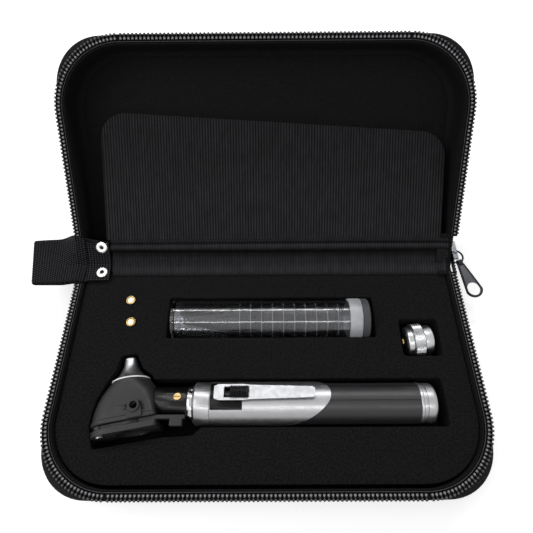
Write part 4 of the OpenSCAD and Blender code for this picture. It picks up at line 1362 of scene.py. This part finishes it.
class CASE_OT_otoscope(Operator):
    """Makes the smooth head of the otoscope and finishes its other pieces"""

    bl_idname = "case.otoscope"
    bl_label = "Otoscope"

    def execute(self, context):
        looks = context.scene.case_kit
        head = moulded("moulded_abs_black", looks.head, 0.45, 0.35, 0.012, 0.3)
        rear = moulded("moulded_abs_frame", looks.frame, 0.48, 0.35, 0.012, 0.3)
        self.housing(head)
        dress(head, "port_nipple", "lens_carrier")
        dress(rear, "lens_frame")
        dress(moulded("white_abs", linear("#e9e9e6"), 0.35, 0.5, 0.004), "cone_ring")
        steel = metal("satin_cone_steel", linear("#b4b5b7"), 0.36, 0.35)
        seat(self.cone(), steel, "otoscope", "cone_metal", "head_cone")
        dress(metal("steel_pin", linear("#9c9d9f"), 0.3), "lens_pivot", "battery_spring")
        dress(clear_plastic("ground_glass_lens", (1, 1, 1), 0.0, 1.52), "viewing_lens")
        dress(moulded("black_neck", linear("#0c0c0d"), 0.26, 0.3, 0.006, 0.22), "neck")
        dress(metal("turned_brass", linear("#8d7852"), 0.3, 0.3), "neck_screw")
        dress(metal("chrome_plate", linear("#c3c4c6"), 0.1), "chrome_ring")
        dress(clear_plastic("lamp_bulb_glass", (1, 1, 1), 0.02, 1.5), "lamp")
        satin = metal("bead_blasted_aluminium", looks.satin, 0.36, 0.25, (0.1, 1, 1))
        dress(satin, "collar")
        seat(self.sleeve(), satin, "otoscope", "sleeve_metal", "sleeve")
        seat(self.end_cap(), satin, "handle_cap", "sleeve_metal", "end_cap")
        dress(metal("satin_spring_steel", looks.bright, 0.4, 0.5, (0.1, 1, 1)), "pocket_clip")
        dress(moulded("black_anodised_handle", looks.handle, 0.4, 0.3, 0.006), "handle_tube")
        glossy = moulded("glossy_black_abs", linear("#070708"), 0.24, 0.5, 0.004, 0.14)
        dress(glossy, "switch_base")
        seat(self.switch(), glossy, "switch", "switch_black", "slide_switch")
        dress(moulded("cell_jacket", linear("#6f7780"), 0.35, 0.6, 0.002), "batteries")
        soften(0.12, "pocket_clip", "switch_base", "lens_frame", "lens_carrier", "port_nipple")
        soften(0.15, "collar", "chrome_ring", "neck")
        return {"FINISHED"}

    def cone(self):
        """Thin steel cone that flares out to its ring, with a rolled lip at the tip."""
        outer = []
        for i in range(13):
            t = i / 12
            outer.append((2.85 + 4.5 * (1 - t) ** 2.6 + 1.2 * (1 - t), 11.1 + 10.6 * t))
        lip = [(2.88, 21.9), (2.7, 22.05), (2.5, 21.9)]
        inner = [(r - 0.5, h) for r, h in outer[::-1]]
        matrix = ON_HEAD @ Matrix.Rotation(-math.pi / 2, 4, "X")
        return lathe("cone", outer + lip + inner, matrix, 64, 50)

    def sleeve(self):
        """Metal sleeve, cut off at a slant that runs out to a round tongue on its upper side."""
        def profile(turn):
            side = math.pi - turn - math.radians(18)
            end = 29.7 - 15 * (1 - math.cos(side))
            return [(10, -26.1), (10, end - 0.25), (9.85, end), (9.33, end), (9.33, -26.1)]
        return lathe("sleeve_tube", profile, HANDLE_AXIS, 120, 30)

    def end_cap(self):
        """Screw cap with a flange, a groove and a knurl too fine to count."""
        profile = [
            (0.01, 70.9), (8.6, 70.9), (9.3, 70.6), (9.42, 70.8), (9.42, 71.6), (9.1, 72.0), (9.1, 72.9),
            (8.8, 73.1), (8.8, 73.6), (9.1, 73.8), (9.1, 76.6), (8.95, 77.2), (8.5, 77.9), (7.6, 78.3),
            (0.01, 78.4),
        ]
        return lathe("handle_end_cap", profile, HANDLE_AXIS, 72, 30)

    def switch(self):
        """Sliding button with seven ribs across it, and lower ends."""
        x0, x1, ribs = -16.7, -8.1, 7
        pitch = (x1 - x0 - 0.5) / ribs
        rib = ((0.05, 13.2), (0.2, 14.05), (0.45, 14.3), (0.75, 14.3), (0.95, 14.05), (1.1, 13.2))
        loop = [(x0, 10.6), (x0, 12.6), (x0 + 0.25, 13.2)]
        for i in range(ribs):
            start = x0 + 0.25 + i * pitch
            loop += [(start + x, z) for x, z in rib]
        loop += [(x1, 12.9), (x1, 10.6)]
        rings = []
        for y, drop in ((-2.5, 0.45), (-2.3, 0.12), (-1.8, 0.0), (1.8, 0.0), (2.3, 0.12), (2.5, 0.45)):
            rings.append(in_mm([(x, y, z - (drop if z > 12 else 0)) for x, z in loop]))
        return sharpen(mesh_object("ribbed_switch", *loft(rings), ON_HANDLE), 50)

    def housing(self, head):
        """Smooth loft from the round ring at the cone to the deep rear, with its flange."""
        sections = [
            (10.5, -9.0, 9.0, 9.0, 9.0, 9.0),
            (7.6, -11.2, 10.8, 9.5, 8.8, 8.2),
            (4.6, -13.4, 12.0, 9.8, 8.6, 7.0),
            (1.6, -15.2, 12.2, 10.0, 8.7, 5.4),
            (-1.4, -16.5, 12.2, 10.1, 8.9, 4.0),
            (-4.0, -17.3, 12.2, 10.2, 9.0, 2.8),
            (-6.7, -17.8, 12.2, 10.3, 9.0, 2.0),
        ]
        rings = [self.ring(*section) for section in sections]
        body = sharpen(mesh_object("head_shell", *loft(rings), ON_HEAD), 60)
        self.drill(body)
        flange_rings = [
            self.ring(y, -18.3 + d, 12.5 - d, 10.3 - d, 9.0 - d, 1.6)
            for y, d in ((-6.7, 0.25), (-6.95, 0.0), (-8.3, 0.0), (-8.6, 0.25))
        ]
        flange = sharpen(mesh_object("head_flange", *loft(flange_rings), ON_HEAD), 50)
        seat(body, head, "otoscope", "head_plastic", "head_housing")
        seat(flange, head, "otoscope", "head_plastic")

    def ring(self, y, x0, x1, half, left, right):
        """Round-cornered section at y, from x0 to x1 and half high, in mm: 4 arcs of 14 points."""
        points = []
        corners = (
            (x1 - right, half - right, right, 0),
            (x0 + left, half - left, left, 90),
            (x0 + left, -half + left, left, 180),
            (x1 - right, -half + right, right, 270),
        )
        for cx, cz, r, first in corners:
            for i in range(14):
                a = math.radians(first + 90 * i / 13)
                points.append((cx + r * math.cos(a), y, cz + r * math.sin(a)))
        return in_mm(points)

    def drill(self, body):
        """Cuts the bore of the port into the housing."""
        rings = [in_mm([(x, y, z) for x, y in circle(3.6, -3.4, 1.3, 24)]) for z in (4, 14)]
        drill = mesh_object("drill", *loft(rings), ON_HEAD)
        cut = body.modifiers.new("bore", "BOOLEAN")
        cut.operation = "DIFFERENCE"
        cut.object = drill
        cut.solver = "EXACT"
        shape = mesh_of(body)
        body.modifiers.clear()
        body.data = shape
        bpy.data.objects.remove(drill)


class CASE_OT_specula_tube(Operator):
    """Finishes the clear tube, its cap and the nested specula"""

    bl_idname = "case.specula_tube"
    bl_label = "Specula tube"

    def execute(self, context):
        looks = context.scene.case_kit
        clear = clear_plastic("clear_polystyrene", (0.95, 0.96, 1.0), 0.08, 1.5, 14, 0.012)
        frosted = clear_plastic("frosted_polystyrene", (0.84, 0.85, 0.88), 0.34, 1.5, 3, 0.04, 0.3)
        body = [(10.25, -46.3), (10.3, -46.0), (10.3, 47.4), (9.4, 47.4), (9.4, -46.3)]
        seat(lathe("clear_tube", body, TUBE_AXIS, 96), clear, "specula_tube", "clear_plastic", "tube_body")
        plug = [
            (0.01, -48.8), (9.3, -48.8), (10.0, -48.5), (10.3, -47.9), (10.3, -46.6), (10.0, -46.35),
            (9.35, -46.3), (9.3, -43.4), (8.6, -43.4), (8.6, -46.4), (8.2, -46.9), (0.01, -46.9),
        ]
        seat(lathe("clear_plug", plug, TUBE_AXIS, 96), clear, "specula_tube", "clear_plastic", "tube_plug")
        cap = [(10.35, 42.2), (11.0, 42.3), (11.1, 42.7), (11.1, 48.2), (10.9, 48.5), (10.35, 48.5)]
        seat(lathe("frosted_cap", cap, TUBE_AXIS, 96), frosted, "tube_lid", "frosted_plastic", "tube_cap")
        disc = [
            (0.01, 48.6), (10.5, 48.6), (10.95, 48.9), (10.95, 51.6), (10.7, 52.2), (10.2, 52.5),
            (0.01, 52.5),
        ]
        grey = moulded("grey_polyethylene", looks.cap, 0.6, 0.5, 0.05, 0.2)
        seat(lathe("grey_disc", disc, TUBE_AXIS, 72), grey, "tube_lid", "cap_grey", "cap_disc")
        dress(moulded("smoke_polypropylene", linear("#131315"), 0.3, 0.5, 0.004, 0.3), "specula")
        light = moulded("speculum_rim", linear("#77797c"), 0.3, 0.5, 0.002)
        seat(self.rims(), light, "specula_tube", "specula_plastic")
        return {"FINISHED"}

    def rims(self):
        """Thin bright rims of the ten nested specula."""
        rings = [revolve(circle(8.5, -13.55 + i * 5.58, 0.15, 8), 64) for i in range(10)]
        return sharpen(mesh_object("specula_rims", *merged(rings), TUBE_AXIS))


class CASE_OT_adapter(Operator):
    """Makes the knurled adapter with its black insulator and brass contact"""

    bl_idname = "case.adapter"
    bl_label = "Adapter"

    def execute(self, context):
        nickel = metal("satin_nickel", linear("#b9babc"), 0.3, 0.3)
        shell = lathe("adapter_body", self.shell, ADAPTER_AXIS, 160, 30)
        seat(shell, nickel, "adapter", "sleeve_metal", "adapter_shell")
        black = moulded("black_phenolic", linear("#0b0b0c"), 0.4, 0.4, 0.01, 0.3)
        disc = [(0.01, -6.6), (5.6, -6.6), (6.3, -6.3), (6.6, -5.7), (6.6, -3.0), (0.01, -3.0)]
        end = lathe("adapter_black_end", disc, ADAPTER_AXIS)
        seat(end, black, "adapter", "switch_black", "adapter_insulator")
        brass = metal("contact_brass", linear("#c09b5c"), 0.28)
        stub = [(0.01, -7.4), (1.5, -7.4), (2.1, -7.1), (2.2, -6.5), (0.01, -6.5)]
        contact = lathe("adapter_brass_contact", stub, ADAPTER_AXIS, 32)
        seat(contact, brass, "adapter", "lamp_brass", "adapter_contact")
        return {"FINISHED"}

    def shell(self, turn):
        """Profile of the shell: its middle band has 80 fine ridges."""
        ridge = 0.07 * math.cos(80 * turn)
        band = [(7.0, -2.8), (8.3, -2.7), (8.6 + ridge, -2.4), (8.6 + ridge, 2.2), (8.3, 2.5), (7.0, 2.6)]
        left = [(6.65, -3.4), (6.7, -5.6), (7.1, -5.6), (7.35, -5.3), (7.35, -3.1), (7.0, -2.9)]
        right = [(7.0, 2.8), (7.35, 3.0), (7.35, 6.5), (7.1, 7.0), (6.3, 7.2), (6.2, 6.6)]
        return left + band + right + [(0.01, 6.6), (0.01, -3.2)]


class CASE_OT_spare_lamps(Operator):
    """Makes the two spare lamps, which stand in the foam with their ends up"""

    bl_idname = "case.spare_lamps"
    bl_label = "Spare lamps"

    def execute(self, context):
        gold = metal("gilt_brass", context.scene.case_kit.gold, 0.2)
        tip = metal("frosted_lamp_tip", linear("#f6e6c4"), 0.38, 0.5, (1, 1, 1), 0.2)
        cup = [
            (0.01, 6.2), (2.3, 6.2), (2.45, 6.5), (2.45, 17.2), (2.38, 17.55), (2.2, 17.7), (2.0, 17.5),
            (1.95, 16.8), (0.01, 16.8),
        ]
        dome = [(0.01, 16.9), (1.95, 16.9), (1.95, 17.3), (1.7, 17.75), (1.1, 18.05), (0.01, 18.15)]
        for name, (x, y) in LAMPS.items():
            matrix = ON_BASE @ Matrix.Translation((x * MM, y * MM, 0))
            body = name.replace("spare_", "")
            seat(lathe(name + "_cup", cup, matrix, 40), gold, body, "lamp_brass", name)
            seat(lathe(name + "_tip", dome, matrix, 40), tip, body, "lamp_glass", name + "_glass")
        return {"FINISHED"}


class CASE_PT_panel(Panel):
    """Lists the pieces and their sizes and colours"""

    bl_idname = "CASE_PT_panel"
    bl_label = "Carry Case"
    bl_space_type = "VIEW_3D"
    bl_region_type = "UI"
    bl_category = "Carry Case"

    def draw(self, context):
        for kind in OPERATORS:
            self.layout.operator(kind.bl_idname)
        for holder, kind in SETTINGS.items():
            settings = getattr(context.scene, holder)
            for name in kind.__annotations__:
                self.layout.prop(settings, name)


OPERATORS = (
    CASE_OT_stage,
    CASE_OT_shells,
    CASE_OT_foam,
    CASE_OT_zip,
    CASE_OT_flap,
    CASE_OT_hinge_cloth,
    CASE_OT_strap,
    CASE_OT_rivets,
    CASE_OT_otoscope,
    CASE_OT_specula_tube,
    CASE_OT_adapter,
    CASE_OT_spare_lamps,
)
SETTINGS = {"case_looks": CaseLooks, "case_kit": KitLooks, "case_studio": StudioLooks}


def register():
    """Registers the settings, the operators and the panel."""
    for holder, kind in SETTINGS.items():
        bpy.utils.register_class(kind)
        setattr(bpy.types.Scene, holder, PointerProperty(type=kind))
    for kind in (*OPERATORS, CASE_PT_panel):
        bpy.utils.register_class(kind)


def unregister():
    """Takes out what register put in."""
    for kind in reversed((*OPERATORS, CASE_PT_panel)):
        bpy.utils.unregister_class(kind)
    for holder, kind in SETTINGS.items():
        delattr(bpy.types.Scene, holder)
        bpy.utils.unregister_class(kind)


def main():
    """Makes every piece in order."""
    register()
    for kind in OPERATORS:
        group, name = kind.bl_idname.split(".")
        getattr(getattr(bpy.ops, group), name)()


if __name__ == "__main__":
    main()
